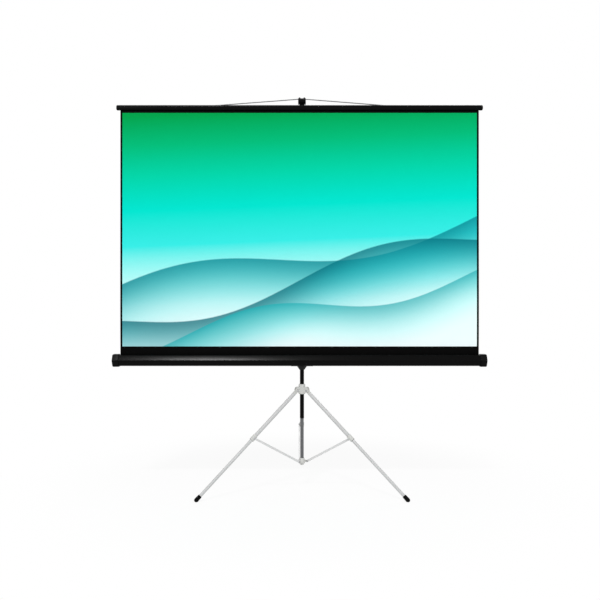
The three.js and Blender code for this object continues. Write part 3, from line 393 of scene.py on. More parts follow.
# %% [markdown]
# ## Turned forms
# A tube or a foot is a profile turned about a line. A profile lists radius against distance along the line.
# One that closes on itself makes a wall round a bore, and one that starts and ends on the line is solid.

# %% Turned forms
ROUND_SIDES = 48
RIM_STEPS = 7
NEARLY_UPRIGHT = 0.9
ALONG_X = np.array([1.0, 0, 0])
UP = np.array([0, 0, 1.0])


def cross_axes(axis):
    """Two unit vectors square to an axis and to each other."""
    helper = UP if abs(axis[2]) < NEARLY_UPRIGHT else ALONG_X
    first = np.cross(axis, helper)
    first /= np.linalg.norm(first)
    return first, np.cross(axis, first)


def turned(profile, base, axis):
    """Points of a turned form: base + distance * axis + radius * (cos a * first + sin a * second)."""
    first, second = cross_axes(axis)
    angle = np.linspace(0, 2 * np.pi, ROUND_SIDES, endpoint=False)
    around = np.cos(angle)[:, None] * first + np.sin(angle)[:, None] * second
    radius, distance = profile.T
    return base + distance[:, None, None] * axis + radius[:, None, None] * around


def tube_profile(radius, wall, start, end):
    """Closed profile of a tube whose two rims are rounded over half a circle of the wall's thickness."""
    half = wall / 2
    angle = np.linspace(0, np.pi, RIM_STEPS)
    lower = np.stack([radius - half + half * np.cos(angle), start + half - half * np.sin(angle)], axis=1)
    upper = np.stack([radius - half - half * np.cos(angle), end - half + half * np.sin(angle)], axis=1)
    return np.vstack([lower, upper])


print("a round piece has", ROUND_SIDES, "sides")

# %% [markdown]
# ## Pole and inner tubes
# The pole is black steel tube. A bright tube slides out of its head and carries the hook, and a zinc-plated
# one slides out of its foot when the legs fold. Each is a plain tube with a wall and rounded rims.

# %% Pole and inner tubes
TUBE_WALL = 1.2 * MM
TUBES = {
    "pole_tube": "main_pole",
    "extension_bright_tube": "extension_tube",
    "spreader_zinc_tube": "spreader_tube",
}

pole_low, pole_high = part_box("main_pole")
POLE_X, POLE_Y = (pole_low.x + pole_high.x) / 2, (pole_low.y + pole_high.y) / 2
POLE_FOOT = np.array([POLE_X, POLE_Y, 0])
for name, node in TUBES.items():
    start, end, radius = measured(node, POLE_FOOT, UP)
    wall_profile = tube_profile(radius, TUBE_WALL, start, end)
    settle(ring_mesh(name, turned(wall_profile, POLE_FOOT, UP), closed=True), node)
    print(f"{name}: {2 * radius / MM:.1f} mm across, {(end - start) / MM:.0f} mm long")

# %% [markdown]
# ## Legs and feet
# A leg is two tubes, the lower one held inside the upper, with a rubber foot. The line of each leg runs
# through the middles of its two CAD tubes. The foot is turned about that line with grip ribs round its
# sleeve, and what would reach under the floor is pressed flat on it.

# %% Legs and feet
LEG_NUMBERS = (1, 2, 3)
RIB_PITCH = 5 * MM
RIB_DEPTH = 0.7 * MM
RIB_SHARE = 0.6
FOOT_RADIUS = 10.5 * MM
FOOT_SLEEVE = 25 * MM
FOOT_TAPER = 0.4 * MM
FOOT_MOUTH_EDGE = 1 * MM
FOOT_PLAY = 0.3 * MM
SLEEVE_STEPS = 60
BALL_STEPS = 10


def middle(node):
    """The middle of a node's box."""
    low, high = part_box(node)
    return np.array((low + high) / 2)


def foot_profile(bore, bore_end, mouth, ball_centre, ball_radius):
    """Bore, mouth, ribbed sleeve and ball of a foot, as radius against distance along the leg."""
    sleeve = np.linspace(mouth + FOOT_MOUTH_EDGE, ball_centre, SLEEVE_STEPS)
    ribs = np.cos(2 * np.pi * (sleeve - mouth) / RIB_PITCH)
    ribbed = (sleeve < mouth + RIB_SHARE * (ball_centre - mouth)) * RIB_DEPTH * (1 + ribs) / 2
    taper = np.interp(sleeve, [mouth, ball_centre], [ball_radius - FOOT_TAPER, ball_radius])
    angle = np.linspace(0, np.pi / 2, BALL_STEPS)[1:]
    return np.vstack([
        [[0, bore_end], [bore, bore_end], [bore, mouth], [ball_radius - FOOT_MOUTH_EDGE, mouth]],
        np.stack([taper - ribbed, sleeve], axis=1),
        np.stack([ball_radius * np.cos(angle), ball_centre + ball_radius * np.sin(angle)], axis=1),
    ])


for number in LEG_NUMBERS:
    pivot = np.array(JOINTS[f"leg_{number}_swing"]["pos_m"])
    line = middle(f"leg_lower_{number}") - middle(f"leg_upper_{number}")
    line /= np.linalg.norm(line)
    for part in ("upper", "lower"):
        node = f"leg_{part}_{number}"
        start, end, radius = measured(node, pivot, line)
        wall_profile = tube_profile(radius, TUBE_WALL, start, end)
        settle(ring_mesh(f"leg_{part}_tube_{number}", turned(wall_profile, pivot, line), closed=True), node)
    lower_radius, lower_end = radius, end
    ball_centre = lower_end + FOOT_RADIUS
    ribbed_profile = foot_profile(
        lower_radius + FOOT_PLAY, lower_end + FOOT_PLAY, ball_centre - FOOT_SLEEVE, ball_centre, FOOT_RADIUS)
    foot = turned(ribbed_profile, pivot, line)
    floor_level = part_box(f"leg_foot_{number}")[0].z
    foot[..., 2] = np.maximum(foot[..., 2], floor_level)
    settle(ring_mesh(f"rubber_foot_{number}", foot), f"leg_foot_{number}")
    print(f"leg {number}: foot's ball at {(pivot + ball_centre * line).round(3)}")

# %% [markdown]
# ## Moulded and pressed fittings
# Hub, collars, clamps, carrier, hook and braces already have their shapes in the frame, and what they lack is
# the soft edge that a mould or a press leaves. Each is a welded copy of its CAD node, its flat faces made
# whole again, with a bevel on every sharp edge. Rounding the copy keeps all bores and seats in place. The
# hub's ears are also drawn up above their pins, to the square shoulders that the photograph shows.

# %% Moulded and pressed fittings
FLAT_WITHIN = math.radians(0.5)
BEVEL_ABOVE = math.radians(38)
BEVEL_SEGMENTS = 2
HUB_EAR_START = 4 * MM
HUB_EAR_TOP = 11 * MM
HUB_EAR_RISE = 8 * MM
HUB_RIM_START = 15 * MM


def with_tall_ears(points):
    """The hub's points: an ear's rise grows from none just over its pin to HUB_EAR_RISE at its top.

    Points above HUB_RIM_START belong to the upper rim of the hub's collar, and stay.
    """
    over_pin = points[:, 2] - JOINTS["leg_1_swing"]["pos_m"][2]
    share = np.clip((over_pin - HUB_EAR_START) / (HUB_EAR_TOP - HUB_EAR_START), 0, 1)
    on_ear = over_pin < HUB_RIM_START
    return points + (share * on_ear)[:, None] * [0, 0, HUB_EAR_RISE]


def eased(node, edge_mm, finish=None, reshape=None):
    """A copy of a CAD node with its doubles merged, flat faces joined and sharp edges bevelled."""
    mesh = frame["nodes"][node].data.copy()
    mesh.name = f"{node}_eased"
    work = bmesh.new()
    work.from_mesh(mesh)
    bmesh.ops.remove_doubles(work, verts=work.verts, dist=WELD)
    bmesh.ops.dissolve_limit(work, angle_limit=FLAT_WITHIN, verts=work.verts, edges=work.edges)
    work.to_mesh(mesh)
    work.free()
    if reshape:
        mesh.vertices.foreach_set("co", reshape(mesh_points(mesh)).astype(np.float32).ravel())
    bevel = settle(mesh, node, finish).modifiers.new("soft_edges", "BEVEL")
    bevel.width = edge_mm * MM
    bevel.segments = BEVEL_SEGMENTS
    bevel.limit_method = "ANGLE"
    bevel.angle_limit = BEVEL_ABOVE


EDGE_MM = {
    "leg_hub": 0.8, "spreader_collar": 0.7, "spreader_plug": 0.5, "carrier_body": 0.8, "case_bracket": 0.6,
    "pole_top_collar": 0.6, "pole_bottom_bush": 0.4, "extension_hook": 0.8, "extension_stop": 0.4,
    "extension_button": 0.4, "swivel_bolt": 0.4, "bail_eye_left": 0.5, "bail_eye_right": 0.5,
}
LEG_EDGE_MM = {
    "leg_end": 0.6, "leg_clamp": 0.6, "leg_pin": 0.5, "spreader_pin": 0.4, "brace": 0.5, "brace_rivet": 0.4,
}
EDGE_MM |= {f"{part}_{number}": edge for part, edge in LEG_EDGE_MM.items() for number in LEG_NUMBERS}
# The braces take the paler copy of the legs' coat, which paints light on them.
OWN_FINISH = {f"brace_{number}": FINISHES["brace_enamel"] for number in LEG_NUMBERS}
OWN_FINISH |= {node: FINISHES["grip_nylon"] for node in ("carrier_body", "pole_top_collar")}
OWN_SHAPE = {"leg_hub": with_tall_ears}
for node, edge_mm in EDGE_MM.items():
    eased(node, edge_mm, OWN_FINISH.get(node), OWN_SHAPE.get(node))
print(f"{len(EDGE_MM)} fittings with soft edges")

# %% [markdown]
# ## Sections of sheet metal
# Case, batten and caps are outlines carried along the screen's width. A hexagon with round corners serves the
# caps and the sockets of their screws. The case needs one more: rolling leaves its faces very slightly
# crowned, which is what fades the bright line on it, so its section is twelve arcs, six tight ones at the
# corners and six long ones between them.

# %% Sections of sheet metal
CORNER_STEPS = 9
SIXTHS = np.arange(6) * np.pi / 3


def heading(angle):
    """Unit vectors that point along angles."""
    return np.stack([np.cos(angle), np.sin(angle)], axis=-1)


def rounded_hexagon(flats, corner):
    """A hexagon with flat top: each corner is an arc of sixty degrees about a point on the corner's line."""
    hub = flats / math.sqrt(3) - corner / math.sin(np.pi / 3)
    bend = SIXTHS[:, None] + np.linspace(-np.pi / 6, np.pi / 6, CORNER_STEPS)
    return (hub * heading(SIXTHS)[:, None] + corner * heading(bend)).reshape(-1, 2)


def crowned_hexagon(flats, corner, crown, steps):
    """The same hexagon with crowned faces: each face turns by crown to either side of its own normal.

    A corner's arc and a face's arc share their point and their normal where they meet, so the corner's centre
    lies (flats / 2 - corner) / (cos 30 + sin 30 * tan(crown / 2)) from the middle, and a face's radius is the
    corner's plus half of that over sin(crown).
    """
    hub = (flats / 2 - corner) / (math.cos(np.pi / 6) + 0.5 * math.tan(crown / 2))
    face = corner + hub / 2 / math.sin(crown)
    bend = SIXTHS[:, None] + np.linspace(crown - np.pi / 6, np.pi / 6 - crown, steps)
    corners = hub * heading(SIXTHS)[:, None] + corner * heading(bend)
    normal = SIXTHS + np.pi / 6
    swell = normal[:, None] + np.linspace(-crown, crown, steps + 2)[1:-1]
    faces = (flats / 2 - face) * heading(normal)[:, None] + face * heading(swell)
    return np.concatenate([corners, faces], axis=1).reshape(-1, 2)


def set_in(path, wall):
    """An open path moved to its left-hand side by a wall's thickness, along its own normals."""
    run = np.gradient(path, axis=0)
    run /= np.linalg.norm(run, axis=1, keepdims=True)
    return path + wall * np.stack([-run[:, 1], run[:, 0]], axis=1)


def walled_bar(name, path, wall, start, end, centre):
    """A sheet-metal section of Y and Z carried along X, closed at both ends by the edge of the sheet."""
    loop = np.vstack([path, set_in(path, wall)[::-1]])
    count, length = len(loop), len(path)
    across = np.stack([np.zeros(count), loop[:, 0], loop[:, 1]], axis=1) + centre
    points = np.stack([across + [start, 0, 0], across + [end, 0, 0]])
    outer = np.arange(length - 1)
    rim = np.stack([outer, outer + 1, count - 2 - outer, count - 1 - outer], axis=1)
    quads = np.vstack([grid_quads(2, count, False, True), rim, rim + count])
    return solid_mesh(name, points, quads)


def section_rings(places, sections, centre):
    """Sections of Y and Z about a centre, one at each place along X, as rings of points."""
    along = np.broadcast_to(places[:, None], sections.shape[:2])
    return np.stack([along, sections[..., 0] + centre[1], sections[..., 1] + centre[2]], axis=-1)


print("a hexagon has", 6 * CORNER_STEPS, "points")

# %% [markdown]
# ## Case
# The case is a six-sided tube of rolled sheet, with a slot along its top where the cloth comes out and the
# edges of the slot turned in. The slot is a gap in the hexagon's path, and the wall is the same path set in
# by the sheet's thickness.

# %% Case
CASE_CORNER = 6 * MM
CASE_CROWN = math.radians(2.2)
CROWN_STEPS = 15
SLOT_FRONT, SLOT_REAR = 5 * MM, 15 * MM
SLOT_TURN_IN = 4 * MM

case_low, case_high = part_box("case_shell")
CASE_FLATS = case_high.z - case_low.z
CASE_CENTRE = middle("case_shell")
ring_path = crowned_hexagon(CASE_FLATS, CASE_CORNER, CASE_CROWN, CROWN_STEPS)
ring_path = ring_path[np.argsort(np.arctan2(ring_path[:, 1], ring_path[:, 0]))]
in_slot = (ring_path[:, 0] > SLOT_FRONT) & (ring_path[:, 0] < SLOT_REAR) & (ring_path[:, 1] > 0)
after_slot = np.flatnonzero(in_slot).max() + 1
from_front_to_rear = np.roll(ring_path, -after_slot, axis=0)[:np.count_nonzero(~in_slot)]
front_lip = np.array([SLOT_FRONT, CASE_FLATS / 2])
rear_lip = np.array([SLOT_REAR, from_front_to_rear[-1, 1]])
turn_in = np.array([0, -SLOT_TURN_IN])
case_path = np.vstack([front_lip + turn_in, front_lip, from_front_to_rear, rear_lip, rear_lip + turn_in])
case_mesh = walled_bar("case_housing", case_path, TUBE_WALL, case_low.x, case_high.x, [0, *CASE_CENTRE[1:]])
settle(case_mesh, "case_shell")
print(f"case: {CASE_FLATS / MM:.0f} mm over flats, {len(case_path)} points in its section")

# %% [markdown]
# ## Cap screws
# Two small screws with hexagon sockets hold each end cap. A head is a stack of rings: circles from the seat
# up over the head, then hexagons down into the socket. A ring that is shrunk almost to nothing closes the
# form, and welding makes one point of it.

# %% Cap screws
TO_A_POINT = 1e-4
SCREW_RADIUS = 3.4 * MM
SCREW_HEIGHT = 1.3 * MM
SCREW_SOCKET = 2.5 * MM
SCREW_SOCKET_CORNER = 0.125 * MM
# Shares of a ring's full size and of the head's height.
SCREW_HEAD = np.array([[TO_A_POINT, 0], [1, 0], [1, 0.5], [0.93, 0.9], [0.8, 1]])
SCREW_HOLE = np.array([[1, 1], [1, 0.3], [TO_A_POINT, 0.3]])


def socket_screw(name, body, seat, axis):
    """A button head: circles of SCREW_HEAD from the seat up, then hexagons of SCREW_HOLE down the socket."""
    socket = rounded_hexagon(SCREW_SOCKET, SCREW_SOCKET_CORNER)
    circle = SCREW_RADIUS * heading(np.arctan2(socket[:, 1], socket[:, 0]))
    rings = np.concatenate([SCREW_HEAD[:, :1, None] * circle, SCREW_HOLE[:, :1, None] * socket])
    height = SCREW_HEIGHT * np.concatenate([SCREW_HEAD[:, 1], SCREW_HOLE[:, 1]])
    first, second = cross_axes(axis)
    points = seat + height[:, None, None] * axis + rings[..., :1] * first + rings[..., 1:] * second
    make_piece(ring_mesh(name, points), body, FINISHES["bright_steel"])


print(f"screw heads: {2 * SCREW_RADIUS / MM:.1f} mm across")

# %% [markdown]
# ## End caps of the case
# Each cap is a moulded cup pushed over the end of the case, a little larger than it, rounded at its outer
# edge and with a shallow panel sunk in its face. It is one grid: rounded hexagons of growing and shrinking
# size, from the floor of the cup inside, out over the mouth, along the outside and in to the middle of the
# face. The heads of the screws sit in the panel, below its border.

# %% End caps of the case
SIDES = (("left", -1), ("right", 1))
CAP_CORNER = CASE_CORNER + 2 * MM
CAP_CORNER_SHARE = 0.25
CAP_EDGE = 6 * MM
CAP_EDGE_STEPS = 8
CAP_LIP = 1.2 * MM
CAP_LIP_STEPS = 5
CAP_MOUTH_STEP = 0.2 * MM
CAP_END_WALL = 8 * MM
PANEL_BORDER = 11 * MM
PANEL_DEPTH = 1.5 * MM
SOCKET_PLAY = 0.35 * MM
SCREW_OFFSET = 13 * MM


def cap_rows(length, flats):
    """Distance from the mouth and size over flats of a cap's hexagons, from the cup's floor to its face."""
    nothing = TO_A_POINT * MM
    socket = CASE_FLATS + 2 * SOCKET_PLAY
    cup, sunk = length - CAP_END_WALL, length - PANEL_DEPTH
    panel = flats - 2 * PANEL_BORDER
    lip = np.linspace(np.pi, np.pi / 2, CAP_LIP_STEPS)
    over = np.linspace(0, np.pi / 2, CAP_EDGE_STEPS)
    return np.vstack([
        [[cup, nothing], [cup, socket], [CAP_MOUTH_STEP, socket]],
        np.stack([CAP_LIP * (1 + np.cos(lip)), flats - 2 * CAP_LIP * (1 - np.sin(lip))], axis=1),
        np.stack([
            length - CAP_EDGE * (1 - np.sin(over)), flats - 2 * CAP_EDGE * (1 - np.cos(over))], axis=1),
        [[length, panel], [sunk, panel - 2 * PANEL_DEPTH], [sunk, nothing]],
    ])


for side, sign in SIDES:
    low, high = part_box(f"case_cap_{side}")
    length, flats = high.x - low.x, high.z - low.z
    mouth = low.x if sign > 0 else high.x
    distances, sizes = cap_rows(length, flats).T
    corners = np.minimum(CAP_CORNER, sizes * CAP_CORNER_SHARE)
    hexagons = np.stack([rounded_hexagon(size, corner) for size, corner in zip(sizes, corners)])
    rings = section_rings(mouth + sign * distances, hexagons, CASE_CENTRE)
    settle(ring_mesh(f"case_end_cap_{side}", rings), f"case_cap_{side}")
    panel_x = mouth + sign * (length - PANEL_DEPTH)
    for place, offset in (("front", -SCREW_OFFSET), ("rear", SCREW_OFFSET)):
        seat = np.array([panel_x, CASE_CENTRE[1] + offset, CASE_CENTRE[2]])
        socket_screw(f"case_cap_screw_{side}_{place}", BODY_OF["case_shell"], seat, sign * ALONG_X)
    print(f"{side} cap: {length / MM:.0f} mm long, {flats / MM:.1f} mm over flats")

# %% [markdown]
# ## Batten
# The batten is a rounded tube with a slot underneath that grips the upper hem. Its ends are domed plugs, made
# of its own outline, which shrinks as the root of a cosine towards the tip.

# %% Batten
BATTEN_CORNER = 9 * MM
BATTEN_SLOT = 1.3 * MM
DOME_STEPS = 9
DOME_STRAIGHT = 0.4
DOME_GAP = 0.4 * MM


def rounded_box(width, height, corner):
    """A box outline with four quarter arcs, starting under its middle and going round against the clock."""
    facing = np.array([-1, 1, 3, 5]) * np.pi / 4
    bend = facing[:, None] + np.linspace(-np.pi / 4, np.pi / 4, CORNER_STEPS)
    hubs = np.sign(heading(facing)) * [width / 2 - corner, height / 2 - corner]
    return (hubs[:, None] + corner * heading(bend)).reshape(-1, 2)


batten_low, batten_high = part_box("batten_tube")
batten_size = batten_high - batten_low
batten_centre = middle("batten_tube")
outline = rounded_box(batten_size.y, batten_size.z, BATTEN_CORNER)
slot_edge = np.array([[BATTEN_SLOT / 2, -batten_size.z / 2]])
batten_path = np.vstack([slot_edge, outline, slot_edge * [-1, 1]])
batten_mesh = walled_bar(
    "batten_bar", batten_path, TUBE_WALL, batten_low.x, batten_high.x, [0, *batten_centre[1:]])
settle(batten_mesh, "batten_tube")

for side, sign in SIDES:
    low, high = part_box(f"batten_cap_{side}")
    tip = high.x if sign > 0 else low.x
    root = batten_high.x if sign > 0 else batten_low.x
    dome = np.linspace(0, np.pi / 2, DOME_STEPS)
    rise = DOME_STRAIGHT + (1 - DOME_STRAIGHT) * np.sin(dome)
    distance = np.concatenate([[0, 0], (abs(tip - root) - DOME_GAP) * rise])
    size = np.concatenate([[TO_A_POINT, 1], TO_A_POINT + np.sqrt(np.maximum(np.cos(dome), 0))])
    sections = size[:, None, None] * outline
    rings = section_rings(root + sign * (DOME_GAP + distance), sections, batten_centre)
    settle(ring_mesh(f"batten_end_{side}", rings), f"batten_cap_{side}")
print(f"batten: {batten_size.x:.3f} m long, {batten_size.z / MM:.0f} mm high")

# %% [markdown]
# ## Bail
# Behind the batten a wire bail, bent up to a shallow peak, hangs in the hook. It lies in one flat plane
# through its eyes, so its section is carried along the path with one fixed normal.

# %% Bail
BAIL_BEND = 8 * MM
BEND_STEPS = 7
CARRIED_SIDES = 20


def rounded_path(corners, radius):
    """A bent line: each inner corner becomes a short curve that is tangent to both its neighbours."""
    before, at, after = corners[:-2], corners[1:-1], corners[2:]
    back = (before - at) / np.linalg.norm(before - at, axis=1, keepdims=True)
    ahead = (after - at) / np.linalg.norm(after - at, axis=1, keepdims=True)
    t = np.linspace(0, 1, BEND_STEPS)[None, :, None]
    start, end = (at + radius * back)[:, None], (at + radius * ahead)[:, None]
    curves = (1 - t) ** 2 * start + 2 * t * (1 - t) * at[:, None] + t ** 2 * end
    return np.vstack([corners[:1], curves.reshape(-1, corners.shape[1]), corners[-1:]])


def carried(name, path, normal, half_wide, half_high):
    """An ellipse carried along a flat path: half_high lies in the path's plane, half_wide along its normal.

    The first and last rings shrink to a point, which closes the ends.
    """
    run = np.gradient(path, axis=0)
    run /= np.linalg.norm(run, axis=1, keepdims=True)
    inward = np.cross(normal, run)
    path = np.vstack([path[:1], path, path[-1:]])
    inward = np.vstack([inward[:1], inward, inward[-1:]])
    size = np.ones(len(path))
    size[[0, -1]] = TO_A_POINT
    angle = np.linspace(0, 2 * np.pi, CARRIED_SIDES, endpoint=False)
    ring = half_high * np.cos(angle)[:, None] * inward[:, None] + half_wide * np.sin(angle)[:, None] * normal
    return ring_mesh(name, path[:, None] + size[:, None, None] * ring)


wire_low, wire_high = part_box("bail_wire")
hook_low, hook_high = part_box("extension_hook")
bail_pivot = np.array(JOINTS["bail_swing"]["pos_m"])
wire = bail_pivot[2] - wire_low.z
peak = np.array([0, wire_high.y - wire - bail_pivot[1], wire_high.z - wire - bail_pivot[2]])
bend_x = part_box("bail_eye_right")[0].x - wire
bail_corners = np.array([
    [wire_low.x, 0, 0], [-bend_x, 0, 0], [hook_low.x, *peak[1:]], [hook_high.x, *peak[1:]], [bend_x, 0, 0],
    [wire_high.x, 0, 0],
]) + [0, *bail_pivot[1:]]
bail_normal = np.cross([1, 0, 0], peak / np.linalg.norm(peak))
bail_path = rounded_path(bail_corners, BAIL_BEND)
settle(carried("bail_bent_wire", bail_path, bail_normal, wire, wire), "bail_wire")
print(f"bail: wire {2 * wire / MM:.1f} mm thick, rises {peak[2] / MM:.0f} mm")

# %% [markdown]
# ## Carry handle
# Behind the pole the carrier has a loop to lift the stand by. It is an ellipse carried round half a loop
# whose sine and cosine are raised to a power below one, which squares it off.

# %% Carry handle
HANDLE_HALF_DEEP = 5.5 * MM
HANDLE_ROOT = 6 * MM
HANDLE_STEPS = 41
HANDLE_SQUARED = 0.62

grip_low, grip_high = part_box("carry_handle")
loop_height = (grip_high.z - grip_low.z) / 2 - HANDLE_HALF_DEEP
loop_middle = (grip_high.z + grip_low.z) / 2
loop_root = grip_low.y - HANDLE_ROOT
loop_reach = grip_high.y - HANDLE_HALF_DEEP - loop_root
sweep = np.linspace(0, np.pi, HANDLE_STEPS)
loop_path = np.stack([
    np.full(sweep.shape, (grip_low.x + grip_high.x) / 2),
    loop_root + loop_reach * np.sin(sweep) ** HANDLE_SQUARED,
    loop_middle + loop_height * np.sign(np.cos(sweep)) * np.abs(np.cos(sweep)) ** HANDLE_SQUARED], axis=1)
half_wide = (grip_high.x - grip_low.x) / 2
handle_mesh = carried("carry_handle_loop", loop_path, ALONG_X, half_wide, HANDLE_HALF_DEEP)
settle(handle_mesh, "carry_handle", finish=FINISHES["grip_nylon"])
print(f"handle: {(grip_high.z - grip_low.z) / MM:.0f} mm high")

# %% [markdown]
# ## Clamp knob
# A lobed knob at the carrier's side clamps it on the pole. It is a turned form whose radius is drawn in
# five times in each turn, in proportion to the radius. Its thin shaft is left round.

# %% Clamp knob
KNOB_LENGTH = 15 * MM
KNOB_SHAFT = 4 * MM
KNOB_SIDES = 80
KNOB_LOBES = 5
KNOB_LOBE_DEPTH = 2 * MM
KNOB_LOBES_FROM = 5 * MM
KNOB_EDGE = 2.5 * MM
KNOB_EDGE_STEPS = 6
KNOB_DISH_RIM, KNOB_DISH_FLOOR = 0.5, 0.45
KNOB_DISH_DEPTH = 0.8 * MM

knob_low, knob_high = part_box("carrier_knob")
knob_radius = (knob_high.z - knob_low.z) / 2
knob_face, knob_back = knob_high.x, knob_high.x - KNOB_LENGTH
dish = knob_face - KNOB_DISH_DEPTH
bend = np.linspace(0, np.pi / 2, KNOB_EDGE_STEPS)
rising, falling = KNOB_EDGE * (1 - np.sin(bend)), KNOB_EDGE * (1 - np.cos(bend))
knob_profile = np.vstack([
    [[0, knob_low.x], [KNOB_SHAFT, knob_low.x]],
    [[KNOB_SHAFT, knob_back], [knob_radius - KNOB_EDGE, knob_back]],
    np.stack([knob_radius - rising, knob_back + falling], axis=1),
    np.stack([knob_radius - falling, knob_face - rising], axis=1),
    [[knob_radius * KNOB_DISH_RIM, knob_face], [knob_radius * KNOB_DISH_FLOOR, dish], [0, dish]],
])
plain = knob_profile[:, :1]
angle = np.linspace(0, 2 * np.pi, KNOB_SIDES, endpoint=False)
drawn_in = KNOB_LOBE_DEPTH * (1 - np.cos(KNOB_LOBES * angle)) / 2
lobed = plain - drawn_in * (plain > KNOB_LOBES_FROM) * plain / knob_radius
knob_rings = np.stack([
    np.broadcast_to(knob_profile[:, 1:], lobed.shape), POLE_Y + lobed * np.cos(angle),
    JOINTS["knob_turn"]["pos_m"][2] + lobed * np.sin(angle)], axis=-1)
settle(ring_mesh("clamp_knob", knob_rings), "carrier_knob", finish=FINISHES["grip_nylon"])
print(f"knob: {2 * knob_radius / MM:.0f} mm across")

# %% [markdown]
# ## Roller
# The roller is a plain tube that lies in the case. It shows only as a grey line deep in the slot.

# %% Roller
roller_low, roller_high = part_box("roller_tube")
roller_base = np.array([0, *middle("roller_tube")[1:]])
roller_radius = (roller_high.z - roller_low.z) / 2
wall_profile = tube_profile(roller_radius, TUBE_WALL, roller_low.x, roller_high.x)
settle(ring_mesh("roller_barrel", turned(wall_profile, roller_base, ALONG_X), closed=True), "roller_tube")
print(f"roller: {2 * roller_radius / MM:.0f} mm across")

# %% [markdown]
# ## Screen cloth: weave
# The screen is one coated cloth. All its faces share a plain weave, laid on the sheet's own map, so that the
# threads stay with the cloth when it is drawn in. Border and back have a soft change of tone as well.

# %% Screen cloth: weave
THREAD_MM = 1.5
THREAD_RELIEF_MM = 0.05
CLOTH_SPECULAR = 0.03
TONE_NOISE = {"Scale": 0.05, "Detail": 3.0}
cloth_size = cloth_high - cloth_low


def woven(name, roughness, colours=None):
    """Coated cloth: a plain weave of warp and weft on the sheet's own map, as a height of two crossed waves.

    Real threads are half a millimetre apart, too fine to show, so they are drawn three times as coarse.
    """
    material, tree, shader = empty_material(name)
    uv = add_node(tree, "ShaderNodeTexCoord").outputs["UV"]
    threads = (cloth_size.x / (THREAD_MM * MM), cloth_size.z / (THREAD_MM * MM), 1)
    scaled = add_node(tree, "ShaderNodeMapping", {"Vector": uv, "Scale": threads}).outputs["Vector"]
    turns = add_node(tree, "ShaderNodeSeparateXYZ", {0: scaled})
    half_turns = [add_node(tree, "ShaderNodeMath", {
        0: turns.outputs[axis], 1: math.pi}, operation="MULTIPLY") for axis in ("X", "Y")]
    warp, weft = (add_node(tree, "ShaderNodeMath", {
        0: node.outputs[0]}, operation="SINE") for node in half_turns)
    weave = add_node(tree, "ShaderNodeMath", {0: warp.outputs[0], 1: weft.outputs[0]}, operation="MULTIPLY")
    relief = add_node(tree, "ShaderNodeBump", {
        "Height": weave.outputs[0], "Distance": THREAD_RELIEF_MM * MM, "Strength": 1.0})
    tree.links.new(relief.outputs["Normal"], shader.inputs["Normal"])
    shader.inputs["Roughness"].default_value = roughness
    shader.inputs["Specular IOR Level"].default_value = CLOTH_SPECULAR
    if colours:
        tone = add_node(tree, "ShaderNodeTexNoise", {"Vector": scaled, **TONE_NOISE})
        mix = add_node(tree, "ShaderNodeMix", {
            0: tone.outputs["Fac"], 6: linear(colours[0]), 7: linear(colours[1])}, data_type="RGBA")
        tree.links.new(mix.outputs[2], shader.inputs["Base Color"])
    return material, tree, shader, uv


border = woven("black_border_cloth", roughness=0.7, colours=("#040404", "#080808"))[0]
backing = woven("black_backing_cloth", roughness=0.85, colours=("#0E0E0F", "#161617"))[0]
print(f"weave: a thread every {THREAD_MM} mm")

# %% [markdown]
# ## Screen cloth: picture
# The face is printed with a plain demonstration picture: steps of colour from the foot of the sheet to its
# head, which lean a little, and three soft ribbons over them. Each ribbon is a wave across the sheet, sharp
# at its crest and fading out below it.

# %% Screen cloth: picture
PRINT_STEPS = [
    (0.0, "#F2FBFD"), (0.24, "#DCFAF9"), (0.38, "#9CF2EE"), (0.48, "#36E4DE"), (0.62, "#00DCC8"),
    (0.76, "#00CBA0"), (0.88, "#00B474"), (1.0, "#009A48"),
]
PRINT_LEAN = 0.06
RIBBONS = [
    {"start": 0.26, "rise": 0.32, "swing": 0.07, "waves": 0.9, "phase": 0.10, "depth": 0.30,
     "crest_colour": "#0A8C96", "foot_colour": "#35D8DA", "cover": 0.92},
    {"start": 0.14, "rise": 0.36, "swing": 0.06, "waves": 1.1, "phase": 0.45, "depth": 0.26,
     "crest_colour": "#057480", "foot_colour": "#24C8CE", "cover": 0.90},
    {"start": 0.05, "rise": 0.30, "swing": 0.05, "waves": 1.3, "phase": 0.75, "depth": 0.20,
     "crest_colour": "#16AAB0", "foot_colour": "#84F0EE", "cover": 0.80},
]
CREST_EDGE = 0.004
SHADE_SHARE = 0.6


def colour_steps(tree, height):
    """Colour by height on the sheet, blended from each of PRINT_STEPS to the next."""
    ramp = add_node(tree, "ShaderNodeValToRGB", {"Fac": height})
    while len(ramp.color_ramp.elements) < len(PRINT_STEPS):
        ramp.color_ramp.elements.new(1.0)
    for element, (position, colour) in zip(ramp.color_ramp.elements, PRINT_STEPS):
        element.position = position
        element.color = linear(colour)
    return ramp.outputs["Color"]


